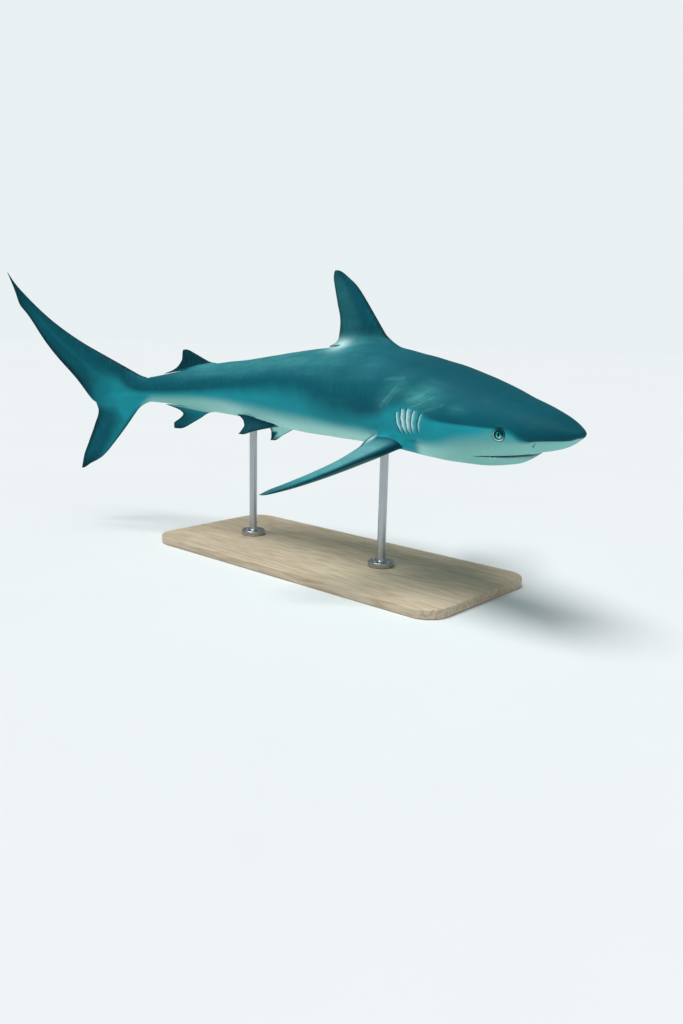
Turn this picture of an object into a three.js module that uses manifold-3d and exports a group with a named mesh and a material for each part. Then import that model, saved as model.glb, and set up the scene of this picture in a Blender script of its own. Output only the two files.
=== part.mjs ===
// A Caribbean reef shark at life size, swimming in a gentle turn to its right, on a display stand.
//
// Millimetres, +Z up, +X forward from tail to snout, +Y to the shark's left.  The origin is the
// centre of the stand's underside.
//
// The shark is modelled straight and then bent.  In the straight space X is minus the distance aft
// of the snout tip, Y is to the left and Z is up from the snout tip.  All its proportions are given
// in hundredths of the total length, the way that fish are measured.

import * as THREE from 'three';
import { mergeVertices } from 'three/addons/utils/BufferGeometryUtils.js';
import Module from 'manifold-3d';

const wasm = await Module();
wasm.setup();

// ---------------------------------------------------------------- driving sizes

const TOTAL_LENGTH = 2000;          // snout tip to the tip of the lowered tail
const SNOUT = new THREE.Vector3(769, -119, 430);   // where the snout tip is held
const HEAD_TURN = 12.4;             // degrees, the head's axis against the model's X
const BEND = 59;                    // degrees, how far the tail's end has turned from the head
const STIFF_LENGTH = 17.7;           // hundredths: head and gills don't bend
const BEND_POWER = 1.25;            // above 1, the bend grows towards the tail
const BANK = 2.5;                   // degrees, the back leans to the inside of the turn
const GAP = 0.3;                    // between two pieces that touch

const degrees = (angle) => (angle * Math.PI) / 180;
const hundredths = (value) => (value * TOTAL_LENGTH) / 100;
const HALF_GAP = (GAP / 2 / TOTAL_LENGTH) * 100;   // in hundredths

// ---------------------------------------------------------------- smooth rules from a few sizes

// A smooth curve through rows of [position, value, value, ...] that never overshoots its rows.
function smoothRows(rows) {
  const last = rows.length - 1;
  const width = rows[0].length;
  const slopes = rows.map(() => new Array(width).fill(0));
  for (let column = 1; column < width; column += 1) {
    const steps = [];
    for (let i = 0; i < last; i += 1) {
      steps.push((rows[i + 1][column] - rows[i][column]) / (rows[i + 1][0] - rows[i][0]));
    }
    slopes[0][column] = steps[0];
    slopes[last][column] = steps[last - 1];
    for (let i = 1; i < last; i += 1) {
      const [before, after] = [steps[i - 1], steps[i]];
      slopes[i][column] = before * after > 0 ? (2 * before * after) / (before + after) : 0;
    }
  }
  return (position) => {
    const clamped = THREE.MathUtils.clamp(position, rows[0][0], rows[last][0]);
    let i = 0;
    while (i < last - 1 && rows[i + 1][0] < clamped) i += 1;
    const span = rows[i + 1][0] - rows[i][0];
    const t = (clamped - rows[i][0]) / span;
    const rise = t * t * (3 - 2 * t);
    return rows[i].slice(1).map((value, k) => {
      const next = rows[i + 1][k + 1];
      const start = slopes[i][k + 1] * span * t * (1 - t) * (1 - t);
      const end = slopes[i + 1][k + 1] * span * t * t * (t - 1);
      return value + (next - value) * rise + start + end;
    });
  };
}

// ---------------------------------------------------------------- solids

function solidFrom(geometry) {
  const bare = geometry.clone();
  for (const name of Object.keys(bare.attributes)) {
    if (name !== 'position') bare.deleteAttribute(name);
  }
  const merged = mergeVertices(bare, 1e-3);
  return new wasm.Manifold(new wasm.Mesh({
    numProp: 3,
    vertProperties: new Float32Array(merged.attributes.position.array),
    triVerts: new Uint32Array(merged.index.array),
  }));
}

function geometryFrom(solid) {
  const mesh = solid.getMesh();
  const geometry = new THREE.BufferGeometry();
  geometry.setAttribute('position', new THREE.BufferAttribute(new Float32Array(mesh.vertProperties), 3));
  geometry.setIndex(new THREE.BufferAttribute(new Uint32Array(mesh.triVerts), 1));
  return geometry;
}

// A closed skin over a row of rings with equally many points, ended by a fan at each end.
// The rings run from the front back, and each ring turns to the left from its top.
function loft(rings) {
  const count = rings[0].length;
  const corners = rings.flat();
  const faces = [];
  for (let row = 0; row < rings.length - 1; row += 1) {
    for (let k = 0; k < count; k += 1) {
      const next = (k + 1) % count;
      const [a, b] = [row * count + k, row * count + next];
      const [c, d] = [a + count, b + count];
      faces.push(a, b, c, b, d, c);
    }
  }
  for (const [row, isFront] of [[0, true], [rings.length - 1, false]]) {
    const centre = rings[row].reduce((sum, p) => sum.add(p), new THREE.Vector3()).divideScalar(count);
    const hub = corners.push(centre) - 1;
    for (let k = 0; k < count; k += 1) {
      const [a, b] = [row * count + k, row * count + ((k + 1) % count)];
      faces.push(...(isFront ? [hub, b, a] : [hub, a, b]));
    }
  }
  const geometry = new THREE.BufferGeometry().setFromPoints(corners);
  geometry.setIndex(faces);
  return solidFrom(geometry);
}

// A block of the straight space, from one corner to the other, in hundredths of the length.
function block(low, high) {
  const size = high.map((value, axis) => hundredths(value - low[axis]));
  const centre = high.map((value, axis) => hundredths((value + low[axis]) / 2));
  return solidFrom(new THREE.BoxGeometry(...size).translate(...centre));
}

// ---------------------------------------------------------------- the body's form

// At each station aft of the snout: the heights of the back, the belly and the widest line, the
// half width there, and how square the section is above and below that line (2 is an ellipse).
const BODY_ROWS = [
  [0, 0, 0, 0, 0, 2.0, 2.0],
  [0.8, 0.58, -0.75, -0.15, 1.4, 2.1, 2.3],
  [3, 1.6, -1.9, -0.4, 2.9, 2.1, 2.5],
  [5.7, 2.45, -2.6, -0.6, 4.05, 2.1, 1.95],
  [6.6, 2.7, -3.35, -0.6, 4.3, 2.1, 1.7],
  [8.2, 3.15, -4.0, -0.6, 4.7, 2.1, 1.85],
  [11.7, 4.25, -4.55, -0.4, 5.3, 2.1, 2.4],
  [17.7, 5.7, -4.75, 0.2, 6.0, 2.1, 2.4],
  [24.7, 6.9, -4.5, 0.8, 6.3, 2.0, 2.3],
  [32.7, 7.85, -4.35, 1.1, 6.15, 1.95, 2.3],
  [40.7, 6.9, -4.4, 1.0, 5.4, 1.95, 2.2],
  [48.7, 5.75, -4.05, 0.8, 4.3, 1.95, 2.1],
  [55.7, 4.65, -3.2, 0.6, 3.3, 1.95, 2.1],
  [61.7, 4.0, -2.75, 0.5, 2.5, 1.95, 2.1],
  [67.7, 2.6, -2.15, 0.15, 1.65, 2.0, 2.0],
  [73.0, 1.5, -1.9, -0.1, 1.15, 2.0, 2.0],
];
// The stations are rooted, so that the snout closes round instead of in a point.
const bodyAt = smoothRows(BODY_ROWS.map(([station, ...sizes]) => [Math.sqrt(station), ...sizes]));
const STEM_END = BODY_ROWS.at(-1)[0];

// The tail's upper lobe carries the body on.  Each row runs from the lobe's upper edge to its lower
// edge, and the first is the end of the tail stem: [share of the way, upper station and height,
// lower station and height, half width, place of the thickest part down the row].
const LOBE_ROWS = [
  [0, 73.0, 1.5, 73.0, -1.9, 1.15, 0.48],
  [0.18, 76.3, 3.1, 77.9, -2.5, 0.95, 0.4],
  [0.34, 79.7, 4.75, 81.2, -2.75, 0.75, 0.3],
  [0.5, 83.3, 6.6, 84.3, 0.85, 0.52, 0.28],
  [0.68, 87.3, 9.25, 88.3, 5.3, 0.34, 0.3],
  [0.76, 89.0, 10.65, 90.2, 8.1, 0.27, 0.3],
  [0.84, 90.7, 12.25, 91.8, 10.9, 0.2, 0.35],
  [0.88, 91.6, 13.2, 92.6, 11.5, 0.17, 0.4],
  [0.95, 93.2, 15.0, 93.4, 14.1, 0.1, 0.5],
  [1, 94.3, 16.7, 94.3, 16.6, 0.03, 0.5],
];
const lobeAt = smoothRows(LOBE_ROWS);

const AROUND = 26;                  // points round a section of the body
const BODY_RINGS = 40;
const LOBE_RINGS = 14;
const FIRST_ROOT = 0.22;            // the square root of the first ring's station
const CROWDING = 0.85;              // under 1, the rings stand closer at the snout's end
const HALF_EDGE = 0.3;              // mm, half the thickness left at a fin's thin edge

const signedPower = (value, power) => Math.sign(value) * Math.abs(value) ** power;

// One section of the body, as points in the straight space, all grown outwards by some millimetres.
function bodyRing(station, grown) {
  const [back, belly, flank, half, squareAbove, squareBelow] = bodyAt(Math.sqrt(station));
  const ring = [];
  for (let k = 0; k < AROUND; k += 1) {
    const angle = (2 * Math.PI * k) / AROUND;
    const above = Math.cos(angle) >= 0;
    const power = 2 / (above ? squareAbove : squareBelow);
    const reach = hundredths(above ? back - flank : flank - belly) + grown;
    const across = signedPower(Math.sin(angle), power) * (hundredths(half) + grown);
    const up = hundredths(flank) + signedPower(Math.cos(angle), power) * reach;
    ring.push(new THREE.Vector3(-hundredths(station), across, up));
  }
  return ring;
}

// One section of the upper lobe: a teardrop with its thick end towards the upper edge.
function lobeRing(share, grown) {
  const [upperAt, upperHeight, lowerAt, lowerHeight, half, thickest] = lobeAt(share);
  const upper = new THREE.Vector3(-hundredths(upperAt), 0, hundredths(upperHeight));
  const lower = new THREE.Vector3(-hundredths(lowerAt), 0, hundredths(lowerHeight));
  const down = lower.clone().sub(upper).normalize();
  upper.addScaledVector(down, -grown);
  lower.addScaledVector(down, grown);
  const ring = [];
  for (let k = 0; k < AROUND; k += 1) {
    const angle = (2 * Math.PI * k) / AROUND;
    const along = (1 - Math.cos(angle)) / 2 - (0.5 - thickest) * Math.sin(angle) ** 2;
    const point = upper.clone().lerp(lower, along);
    point.y = Math.sin(angle) * (hundredths(half) + HALF_EDGE + grown);
    ring.push(point);
  }
  return ring;
}

function bodySolid(grown = 0) {
  const rings = [];
  for (let i = 0; i <= BODY_RINGS; i += 1) {
    const share = (i / BODY_RINGS) ** CROWDING;
    const root = THREE.MathUtils.lerp(FIRST_ROOT, Math.sqrt(STEM_END), share);
    rings.push(bodyRing(root * root, grown));
  }
  for (let i = 1; i <= LOBE_RINGS; i += 1) {
    rings.push(lobeRing(i / LOBE_RINGS, grown));
  }
  return loft(rings);
}

// ---------------------------------------------------------------- fins

// How full a fin is across its chord, where x runs from 0 at the front edge to 1 at the rear edge:
// fullest, at 1, a third of the way back.
const FOIL_PEAK = Math.sqrt(1 / 3) * (2 / 3);
const foil = (x) => (Math.sqrt(x) * (1 - x)) / FOIL_PEAK;

const CHORD_STEPS = 6;
const STEPS_PER_ROW = 2;
const THINNING = 1.2;               // how fast a fin thins towards its tip
const EDGE_SLOPE = 8;               // how soon behind its front edge a fin has its least thickness

// A fin from rows of [height, front station, rear station], with height measured along the fin.
// place(station, height, side) gives a point: side is the distance to the left of the fin's sheet.
function finSolid({ rows, thick, place, depth }) {
  const height = rows.at(-1)[0];
  const rootOf = (h) => Math.sqrt(1 - h / height);
  const shape = smoothRows(rows.map(([h, front, rear]) => [-rootOf(h), front, rear]));
  const roots = [1];
  for (let i = 1; i < rows.length; i += 1) {
    for (let step = 1; step <= STEPS_PER_ROW; step += 1) {
      const share = step / STEPS_PER_ROW;
      roots.push(THREE.MathUtils.lerp(rootOf(rows[i - 1][0]), rootOf(rows[i][0]), share));
    }
  }
  const rings = roots.map((root, i) => {
    const [front, rear] = shape(-root);
    const full = hundredths(thick) * root ** THINNING;
    const h = i === 0 ? -depth : height * (1 - root * root);
    const near = [];
    const far = [];
    for (let k = 0; k <= CHORD_STEPS; k += 1) {
      const x = (1 - Math.cos((Math.PI * k) / CHORD_STEPS)) / 2;
      const station = front + (rear - front) * x;
      const side = full * foil(x) + HALF_EDGE * Math.min(1, x * EDGE_SLOPE);
      near.push(place(station, h, side));
      if (k > 0) far.push(place(station, h, -side));
    }
    return [...near, ...far.reverse()];
  });
  return outward(rings);
}

// The loft of the rings, turned the right way out whichever way the rings run.
function outward(rings) {
  const solid = loft(rings);
  return solid.volume() > 0 ? solid : loft(rings.map((ring) => [...ring].reverse()));
}

// A fin on the midline of the back (up = 1) or of the belly (up = -1).  Near its foot it follows
// the body's edge, so that its free rear tip lies close over it, and higher up it stands straight.
function medianFin({ rows, thick, up }) {
  const edge = (station) => bodyAt(Math.sqrt(Math.min(station, STEM_END)))[up > 0 ? 0 : 1];
  const height = rows.at(-1)[0];
  const footAt = rows[0][1];
  const place = (station, h, side) => {
    const straightening = THREE.MathUtils.smoothstep(h / height, 0, 0.5) / 2;
    const foot = THREE.MathUtils.lerp(edge(station), edge(footAt), straightening);
    return new THREE.Vector3(-hundredths(station), side, hundredths(foot + up * h));
  };
  return finSolid({ rows, thick, place, depth: 1.2 });
}

// A paired fin.  Its sheet leaves the body at the root's place, droops by an angle that grows
// towards the tip, and its rear edge is raised or lowered by the pitch.
function pairedFin({ rows, thick, root, droop, curl, pitch, left, depth }) {
  const height = rows.at(-1)[0];
  const place = (station, h, side) => {
    const angle = degrees(droop + (curl * h) / height);
    const aft = station * Math.cos(degrees(pitch));
    const sheet = station * Math.sin(degrees(pitch));
    const outward = root.out + h * Math.cos(angle) - sheet * Math.sin(angle);
    const up = root.up - h * Math.sin(angle) - sheet * Math.cos(angle);
    const across = hundredths(outward) + side * Math.sin(angle);
    const high = hundredths(up) + side * Math.cos(angle);
    return new THREE.Vector3(-hundredths(root.station + aft), left ? across : -across, high);
  };
  return finSolid({ rows, thick, place, depth });
}

const FIRST_DORSAL = {
  rows: [
    [0, 28.6, 38.4],
    [0.12, 28.7, 40.0],
    [0.5, 29.05, 38.8],
    [1.1, 29.75, 38.2],
    [3.0, 31.4, 37.9],
    [5.2, 33.2, 38.35],
    [7.0, 34.8, 38.75],
    [8.4, 36.6, 39.0],
    [9.3, 38.6, 38.7],
  ],
  thick: 0.62,
  up: 1,
};

const SECOND_DORSAL = {
  rows: [
    [0, 60.7, 66.3],
    [0.08, 61.0, 69.8],
    [0.3, 61.5, 68.0],
    [0.6, 62.1, 67.0],
    [1.1, 63.1, 66.4],
    [1.9, 64.5, 66.3],
    [2.4, 65.8, 66.1],
  ],
  thick: 0.3,
  up: 1,
};

const ANAL = {
  rows: [
    [0, 61.2, 66.5],
    [0.15, 61.6, 69.7],
    [0.4, 62.1, 68.4],
    [0.7, 62.6, 67.1],
    [1.05, 63.1, 66.6],
    [1.7, 64.2, 67.2],
    [2.55, 65.6, 68.3],
    [3.3, 67.6, 68.3],
  ],
  thick: 0.3,
  up: -1,
};

const PECTORAL = {
  rows: [
    [0, 0, 6.3],
    [0.4, 0.3, 6.75],
    [1.3, 0.85, 6.9],
    [2.5, 1.7, 6.65],
    [3.4, 2.35, 6.85],
    [5.0, 3.6, 7.35],
    [8.0, 5.9, 8.95],
    [11.0, 8.5, 11.0],
    [13.2, 10.9, 12.6],
    [14.2, 12.9, 13.1],
  ],
  thick: 0.72,
  root: { station: 19.8, out: 5.0, up: -2.5 },
  depth: 2.5,
};

const PELVIC = {
  rows: [
    [0, -1.3, 5.0],
    [0.2, -1.1, 7.4],
    [0.6, -0.7, 6.6],
    [1.2, 0.3, 5.7],
    [2.2, 2.2, 4.95],
    [2.9, 3.4, 4.95],
    [3.5, 4.5, 5.15],
  ],
  thick: 0.35,
  root: { station: 47.2, out: 2.2, up: -3.0 },
  depth: 1.2,
};

// The lower lobe of the tail hangs from the upper lobe's lower edge.
const LOWER_LOBE = {
  rows: [
    [0, 72.9, 81.5],
    [1.2, 74.3, 81.2],
    [3.4, 76.2, 81.95],
    [6.0, 78.5, 83.05],
    [8.4, 80.9, 84.05],
    [9.8, 83.3, 84.4],
    [10.4, 84.4, 84.6],
  ],
  thick: 0.55,
};

function lowerLobeSolid() {
  const [front, rear] = [LOWER_LOBE.rows[0][1], LOWER_LOBE.rows[0][2]];
  const footHeight = (station) => {
    const share = THREE.MathUtils.clamp((station - front) / (rear - front), 0, 1);
    return THREE.MathUtils.lerp(-1.8, -2.5, share);
  };
  const place = (station, h, side) => (
    new THREE.Vector3(-hundredths(station), side, hundredths(footHeight(station) - h))
  );
  return finSolid({ ...LOWER_LOBE, place, depth: 0.6 });
}

// ---------------------------------------------------------------- mouth, eyes, nostrils, gills

const JAW = { front: 5.75, corner: 10.6, frontHeight: -2.56, cornerHeight: -3.05, open: 0.24 };
const EYE = { station: 6.95, out: 3.9, up: -0.4, radius: 0.8, depth: 0.55, turn: 14 };
const NOSTRIL = { station: 3.5, out: 3.1, up: -1.15, length: 0.55, width: 0.16, depth: 0.7, lean: 15 };
const GILLS = {
  count: 5,
  first: { station: 17.0, up: -0.15, lean: 7 },
  last: { station: 20.6, up: -0.4, lean: -20 },
  shortest: 2.2,
  longest: 2.9,
  depth: 1.0,
  open: 0.12,
};
const FAR_SIDE = 8;                 // half the width of a cutter that runs right across the head

// A side view of [station, height] corners, in hundredths, carried right across the head.
function acrossHead(corners) {
  const section = new THREE.Shape(corners.map(([station, up]) => (
    new THREE.Vector2(hundredths(station), hundredths(up))
  )));
  const depth = 2 * hundredths(FAR_SIDE);
  const bar = new THREE.ExtrudeGeometry(section, { depth, bevelEnabled: false });
  bar.translate(0, 0, -depth / 2);
  // The shape's x is the distance aft, its y is up, and the carrying runs across.
  bar.applyMatrix4(new THREE.Matrix4().set(-1, 0, 0, 0, 0, 0, 1, 0, 0, 1, 0, 0, 0, 0, 0, 1));
  return solidFrom(bar);
}

// The wedge of space between the jaws, which closes towards the corners of the mouth.
function mouthGap() {
  return acrossHead([
    [JAW.front, JAW.frontHeight + JAW.open / 2],
    [JAW.corner, JAW.cornerHeight + HALF_GAP],
    [JAW.corner, JAW.cornerHeight - HALF_GAP],
    [JAW.front, JAW.frontHeight - JAW.open / 2],
  ]);
}

// Everything under the mouth and ahead of its corners, which is the lower jaw's room.
function jawRoom(extra) {
  return acrossHead([
    [JAW.front, JAW.frontHeight],
    [JAW.corner + extra, JAW.cornerHeight],
    [JAW.corner + extra, -FAR_SIDE],
    [JAW.front, -FAR_SIDE],
  ]);
}

// An eye is flatter than a ball from side to side, and faces a little forward.
function eyeBall(left, extra = 0) {
  const side = left ? 1 : -1;
  const radius = hundredths(EYE.radius) + extra;
  const ball = new THREE.SphereGeometry(1, 16, 10);
  ball.scale(radius, hundredths(EYE.depth) + extra, radius);
  ball.rotateZ(degrees(-EYE.turn * side));
  ball.translate(-hundredths(EYE.station), hundredths(EYE.out) * side, hundredths(EYE.up));
  return solidFrom(ball);
}

// A slot cut into the side of the body: a short flattened rod that stands across the skin, and
// leans with its top forward by an angle.
function slot({ station, up, length, width, lean, left, from, to }) {
  const rod = new THREE.CylinderGeometry(0.5, 0.5, 1, 8);
  rod.scale(hundredths(width), hundredths(to - from), hundredths(length));
  rod.rotateY(degrees(lean));
  const across = (hundredths(from + to) / 2) * (left ? 1 : -1);
  rod.translate(-hundredths(station), across, hundredths(up));
  return solidFrom(rod);
}

function gillSlots(left) {
  const slots = [];
  for (let i = 0; i < GILLS.count; i += 1) {
    const share = i / (GILLS.count - 1);
    const along = (key) => THREE.MathUtils.lerp(GILLS.first[key], GILLS.last[key], share);
    const station = along('station');
    const half = bodyAt(Math.sqrt(station))[3];
    const longer = (GILLS.longest - GILLS.shortest) * Math.sin(Math.PI * share);
    slots.push(slot({
      station,
      up: along('up'),
      length: GILLS.shortest + longer,
      width: GILLS.open,
      lean: along('lean'),
      left,
      from: half - GILLS.depth,
      to: half + 1,
    }));
  }
  return slots;
}

const nostrilSlot = (left) => slot({
  ...NOSTRIL, left, from: NOSTRIL.out - NOSTRIL.depth, to: NOSTRIL.out + 1,
});

const subtractAll = (solid, cutters) => cutters.reduce((rest, cutter) => rest.subtract(cutter), solid);

// ---------------------------------------------------------------- the pose

const SPINE_STEPS = 400;
const headingAt = (station) => {
  const share = Math.max(0, (station - STIFF_LENGTH) / (100 - STIFF_LENGTH));
  return degrees(HEAD_TURN - BEND * share ** BEND_POWER);
};

// The spine as it lies in plan, integrated from the snout back.
const spinePoints = [new THREE.Vector2(SNOUT.x, SNOUT.y)];
for (let i = 0; i < SPINE_STEPS; i += 1) {
  const heading = headingAt(((i + 0.5) * 100) / SPINE_STEPS);
  const step = TOTAL_LENGTH / SPINE_STEPS;
  const last = spinePoints[i];
  spinePoints.push(new THREE.Vector2(last.x - step * Math.cos(heading), last.y + step * Math.sin(heading)));
}

// From the straight space to the swimming pose.
function posed(point) {
  const aft = -point.x / TOTAL_LENGTH;
  const index = THREE.MathUtils.clamp(Math.floor(aft * SPINE_STEPS), 0, SPINE_STEPS - 1);
  const [a, b] = [spinePoints[index], spinePoints[index + 1]];
  const along = a.clone().lerp(b, aft * SPINE_STEPS - index);
  const heading = headingAt(aft * 100);
  const bank = degrees(BANK);
  const across = point.y * Math.cos(bank) - point.z * Math.sin(bank);
  const up = point.z * Math.cos(bank) + point.y * Math.sin(bank);
  return new THREE.Vector3(
    along.x + across * Math.sin(heading),
    along.y + across * Math.cos(heading),
    SNOUT.z + up,
  );
}

function bent(solid) {
  const geometry = geometryFrom(solid);
  const position = geometry.attributes.position;
  for (let i = 0; i < position.count; i += 1) {
    const point = posed(new THREE.Vector3().fromBufferAttribute(position, i));
    position.setXYZ(i, point.x, point.y, point.z);
  }
  return geometry;
}

// ---------------------------------------------------------------- the stand

const STAND = {
  length: 1000,
  width: 420,
  thick: 24,
  corner: 60,
  rodRadius: 11,
  collarRadius: 34,
  collarHeight: 14,
  bevel: 3,
  chamfer: 2,
  stations: { front: 30, rear: 54 },
};

function standBase() {
  const [x, y, r] = [STAND.length / 2 - STAND.bevel, STAND.width / 2 - STAND.bevel, STAND.corner];
  const outline = new THREE.Shape();
  outline.moveTo(-x + r, -y);
  outline.lineTo(x - r, -y);
  outline.absarc(x - r, -y + r, r, -Math.PI / 2, 0);
  outline.absarc(x - r, y - r, r, 0, Math.PI / 2);
  outline.absarc(-x + r, y - r, r, Math.PI / 2, Math.PI);
  outline.absarc(-x + r, -y + r, r, Math.PI, 1.5 * Math.PI);
  const plate = new THREE.ExtrudeGeometry(outline, {
    depth: STAND.thick - 2 * STAND.bevel,
    bevelThickness: STAND.bevel,
    bevelSize: STAND.bevel,
    bevelSegments: 1,
    curveSegments: 5,
  });
  return solidFrom(plate.translate(0, 0, STAND.bevel));
}

// A rod with a turned collar at its foot.  It is made too long, and the body cuts its top to fit.
function standRod(station, cutter) {
  const belly = bodyAt(Math.sqrt(station))[1];
  const foot = posed(new THREE.Vector3(-hundredths(station), 0, hundredths(belly)));
  const bottom = STAND.thick + GAP;
  const profile = [
    [0, bottom],
    [STAND.collarRadius, bottom],
    [STAND.collarRadius, bottom + STAND.collarHeight - STAND.chamfer],
    [STAND.collarRadius - STAND.chamfer, bottom + STAND.collarHeight],
    [STAND.rodRadius, bottom + STAND.collarHeight],
    [STAND.rodRadius, SNOUT.z],
    [0, SNOUT.z],
  ].map(([radius, z]) => new THREE.Vector2(radius, z));
  const rod = new THREE.LatheGeometry(profile, 24).rotateX(Math.PI / 2).translate(foot.x, foot.y, 0);
  return solidFrom(rod).subtract(cutter);
}

// ---------------------------------------------------------------- assembly

const MATERIALS = {
  skin: new THREE.MeshStandardMaterial({ color: 0x2a7380, roughness: 0.55, metalness: 0 }),
  eye: new THREE.MeshStandardMaterial({ color: 0x2e7a78, roughness: 0.08, metalness: 0 }),
  plate: new THREE.MeshStandardMaterial({ color: 0x9e8561, roughness: 0.5, metalness: 0 }),
  steel: new THREE.MeshStandardMaterial({ color: 0xb4b7ba, roughness: 0.3, metalness: 1 }),
};

const shark = new THREE.Group();

function add(name, geometry, material) {
  const mesh = new THREE.Mesh(geometry, MATERIALS[material]);
  mesh.name = name;
  shark.add(mesh);
}

// The lengths of the body, from one station to the next, which a cut of one gap parts.
const LENGTHS = [
  ['head', -5, 13.4],
  ['gill_region', 13.4, 23.2],
  ['trunk_front', 23.2, 42],
  ['trunk_rear', 42, 59],
  ['tail_stem', 59, STEM_END],
  ['caudal_upper_lobe', STEM_END, 110],
];

const ROOM = 40;                    // hundredths, beyond the body on every side

const body = bodySolid();
const grownBody = bodySolid(GAP);
const bodyPieces = {};
for (const [name, from, to] of LENGTHS) {
  const low = [-to + HALF_GAP, -ROOM, -ROOM];
  const high = [-from - HALF_GAP, ROOM, ROOM];
  bodyPieces[name] = body.intersect(block(low, high));
}

const sockets = [true, false].map((left) => eyeBall(left, GAP));
const nostrils = [true, false].map(nostrilSlot);
const lowerJaw = bodyPieces.head.subtract(mouthGap()).intersect(jawRoom(0));
bodyPieces.head = subtractAll(bodyPieces.head, [mouthGap(), jawRoom(2 * HALF_GAP), ...sockets, ...nostrils]);
bodyPieces.gill_region = subtractAll(bodyPieces.gill_region, [...gillSlots(true), ...gillSlots(false)]);

for (const [name, solid] of Object.entries(bodyPieces)) add(name, bent(solid), 'skin');
add('lower_jaw', bent(lowerJaw), 'skin');

const fins = {
  dorsal_fin_first: medianFin(FIRST_DORSAL),
  dorsal_fin_second: medianFin(SECOND_DORSAL),
  anal_fin: medianFin(ANAL),
  caudal_lower_lobe: lowerLobeSolid(),
  pectoral_fin_right: pairedFin({ ...PECTORAL, droop: 30, curl: -3.5, pitch: -1, left: false }),
  pectoral_fin_left: pairedFin({ ...PECTORAL, droop: 3, curl: 4, pitch: 0, left: true }),
  pelvic_fin_right: pairedFin({ ...PELVIC, droop: 32, curl: 5, pitch: -6, left: false }),
  pelvic_fin_left: pairedFin({ ...PELVIC, droop: 84, curl: 5, pitch: 8, left: true }),
};
for (const [name, solid] of Object.entries(fins)) add(name, bent(solid.subtract(grownBody)), 'skin');

add('eye_left', bent(eyeBall(true)), 'eye');
add('eye_right', bent(eyeBall(false)), 'eye');

const standCutter = solidFrom(bent(grownBody));
add('stand_base', geometryFrom(standBase()), 'plate');
for (const [place, station] of Object.entries(STAND.stations)) {
  add(`stand_rod_${place}`, geometryFrom(standRod(station, standCutter)), 'steel');
}

export default shark;
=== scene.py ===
# %% [markdown]
# # A reef shark at life size, on a display stand
#
# This file paints and details a Caribbean reef shark that was first made as a plain solid model.
# Each text cell says what the next piece is on the real animal, how it could be made in Blender, and
# why one way was chosen.  The solid model is loaded first and never moves.  All that follows is built
# round it, in metres, with X forward, Y to the left and Z up.

# %% Load the solid model
import math

import bmesh
import bpy
import numpy as np
from mathutils import Matrix, Vector
from mathutils.bvhtree import BVHTree
from mathutils.interpolate import poly_3d_calc


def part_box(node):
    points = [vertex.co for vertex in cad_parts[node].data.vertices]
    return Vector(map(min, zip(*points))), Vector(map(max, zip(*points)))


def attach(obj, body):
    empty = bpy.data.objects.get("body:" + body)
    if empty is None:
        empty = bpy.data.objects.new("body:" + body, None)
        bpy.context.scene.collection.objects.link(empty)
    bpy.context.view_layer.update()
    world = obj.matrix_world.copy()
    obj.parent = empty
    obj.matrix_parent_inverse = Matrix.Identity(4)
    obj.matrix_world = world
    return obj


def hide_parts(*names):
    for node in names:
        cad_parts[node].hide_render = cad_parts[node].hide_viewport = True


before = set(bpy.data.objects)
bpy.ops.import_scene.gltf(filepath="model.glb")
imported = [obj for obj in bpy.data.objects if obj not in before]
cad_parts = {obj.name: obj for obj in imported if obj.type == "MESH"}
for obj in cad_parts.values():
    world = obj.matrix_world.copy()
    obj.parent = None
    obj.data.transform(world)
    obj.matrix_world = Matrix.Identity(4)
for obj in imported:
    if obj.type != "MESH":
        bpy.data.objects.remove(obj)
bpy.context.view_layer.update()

flesh_nodes = [
    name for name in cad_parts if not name.startswith(("eye_", "stand_"))
]
print("solid model:", len(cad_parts), "nodes, of which", len(flesh_nodes), "are flesh")

# %% [markdown]
# ## A straight shark first
#
# A swimming shark is curved, which makes every measure on it awkward.  So the skin is built on a
# straight shark and bent at the very end.  On it x is how far back from the snout a point is, y is
# to the left and z is up from the snout's tip.  One unit is a hundredth of the total length, as in
# descriptions of fish.  Small details are given in millimetres, and mm() turns those into the unit.

# %% Units and smooth curves
TOTAL_LENGTH = 2.0  # metres
UNIT = TOTAL_LENGTH / 100  # metres in one hundredth of the length


def mm(value):
    """Millimetres as hundredths of the shark's length."""
    return value / 1000 / UNIT


def smooth_step(low, high, value):
    """0 below low, 1 above high, and an S-shaped rise in between."""
    share = np.clip((value - low) / (high - low), 0, 1)
    return share * share * (3 - 2 * share)


def smooth_rows(rows):
    """A smooth curve through rows of [position, size, size, ...] that never overshoots a row."""
    table = np.array(rows, float)
    at, sizes = table[:, 0], table[:, 1:]
    steps = np.diff(sizes, axis=0) / np.diff(at)[:, None]
    before, after = steps[:-1], steps[1:]
    same_way = before * after > 0
    slopes = np.vstack([steps[:1], np.zeros_like(before), steps[-1:]])
    slopes[1:-1][same_way] = (2 * before * after)[same_way] / (before + after)[same_way]

    def sizes_at(position):
        position = np.clip(np.atleast_1d(np.asarray(position, float)), at[0], at[-1])
        row = np.clip(np.searchsorted(at, position) - 1, 0, len(at) - 2)
        span = (at[row + 1] - at[row])[:, None]
        t = (position - at[row])[:, None] / span
        rise = sizes[row] + (sizes[row + 1] - sizes[row]) * t * t * (3 - 2 * t)
        lean = slopes[row] * span * t * (1 - t) ** 2 + slopes[row + 1] * span * t * t * (t - 1)
        return rise + lean

    return sizes_at


def one_size(rows):
    """smooth_rows for rows of [position, size], giving plain numbers."""
    curve = smooth_rows(rows)
    return lambda position: curve(np.ravel(position))[:, 0].reshape(np.shape(position))


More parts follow.
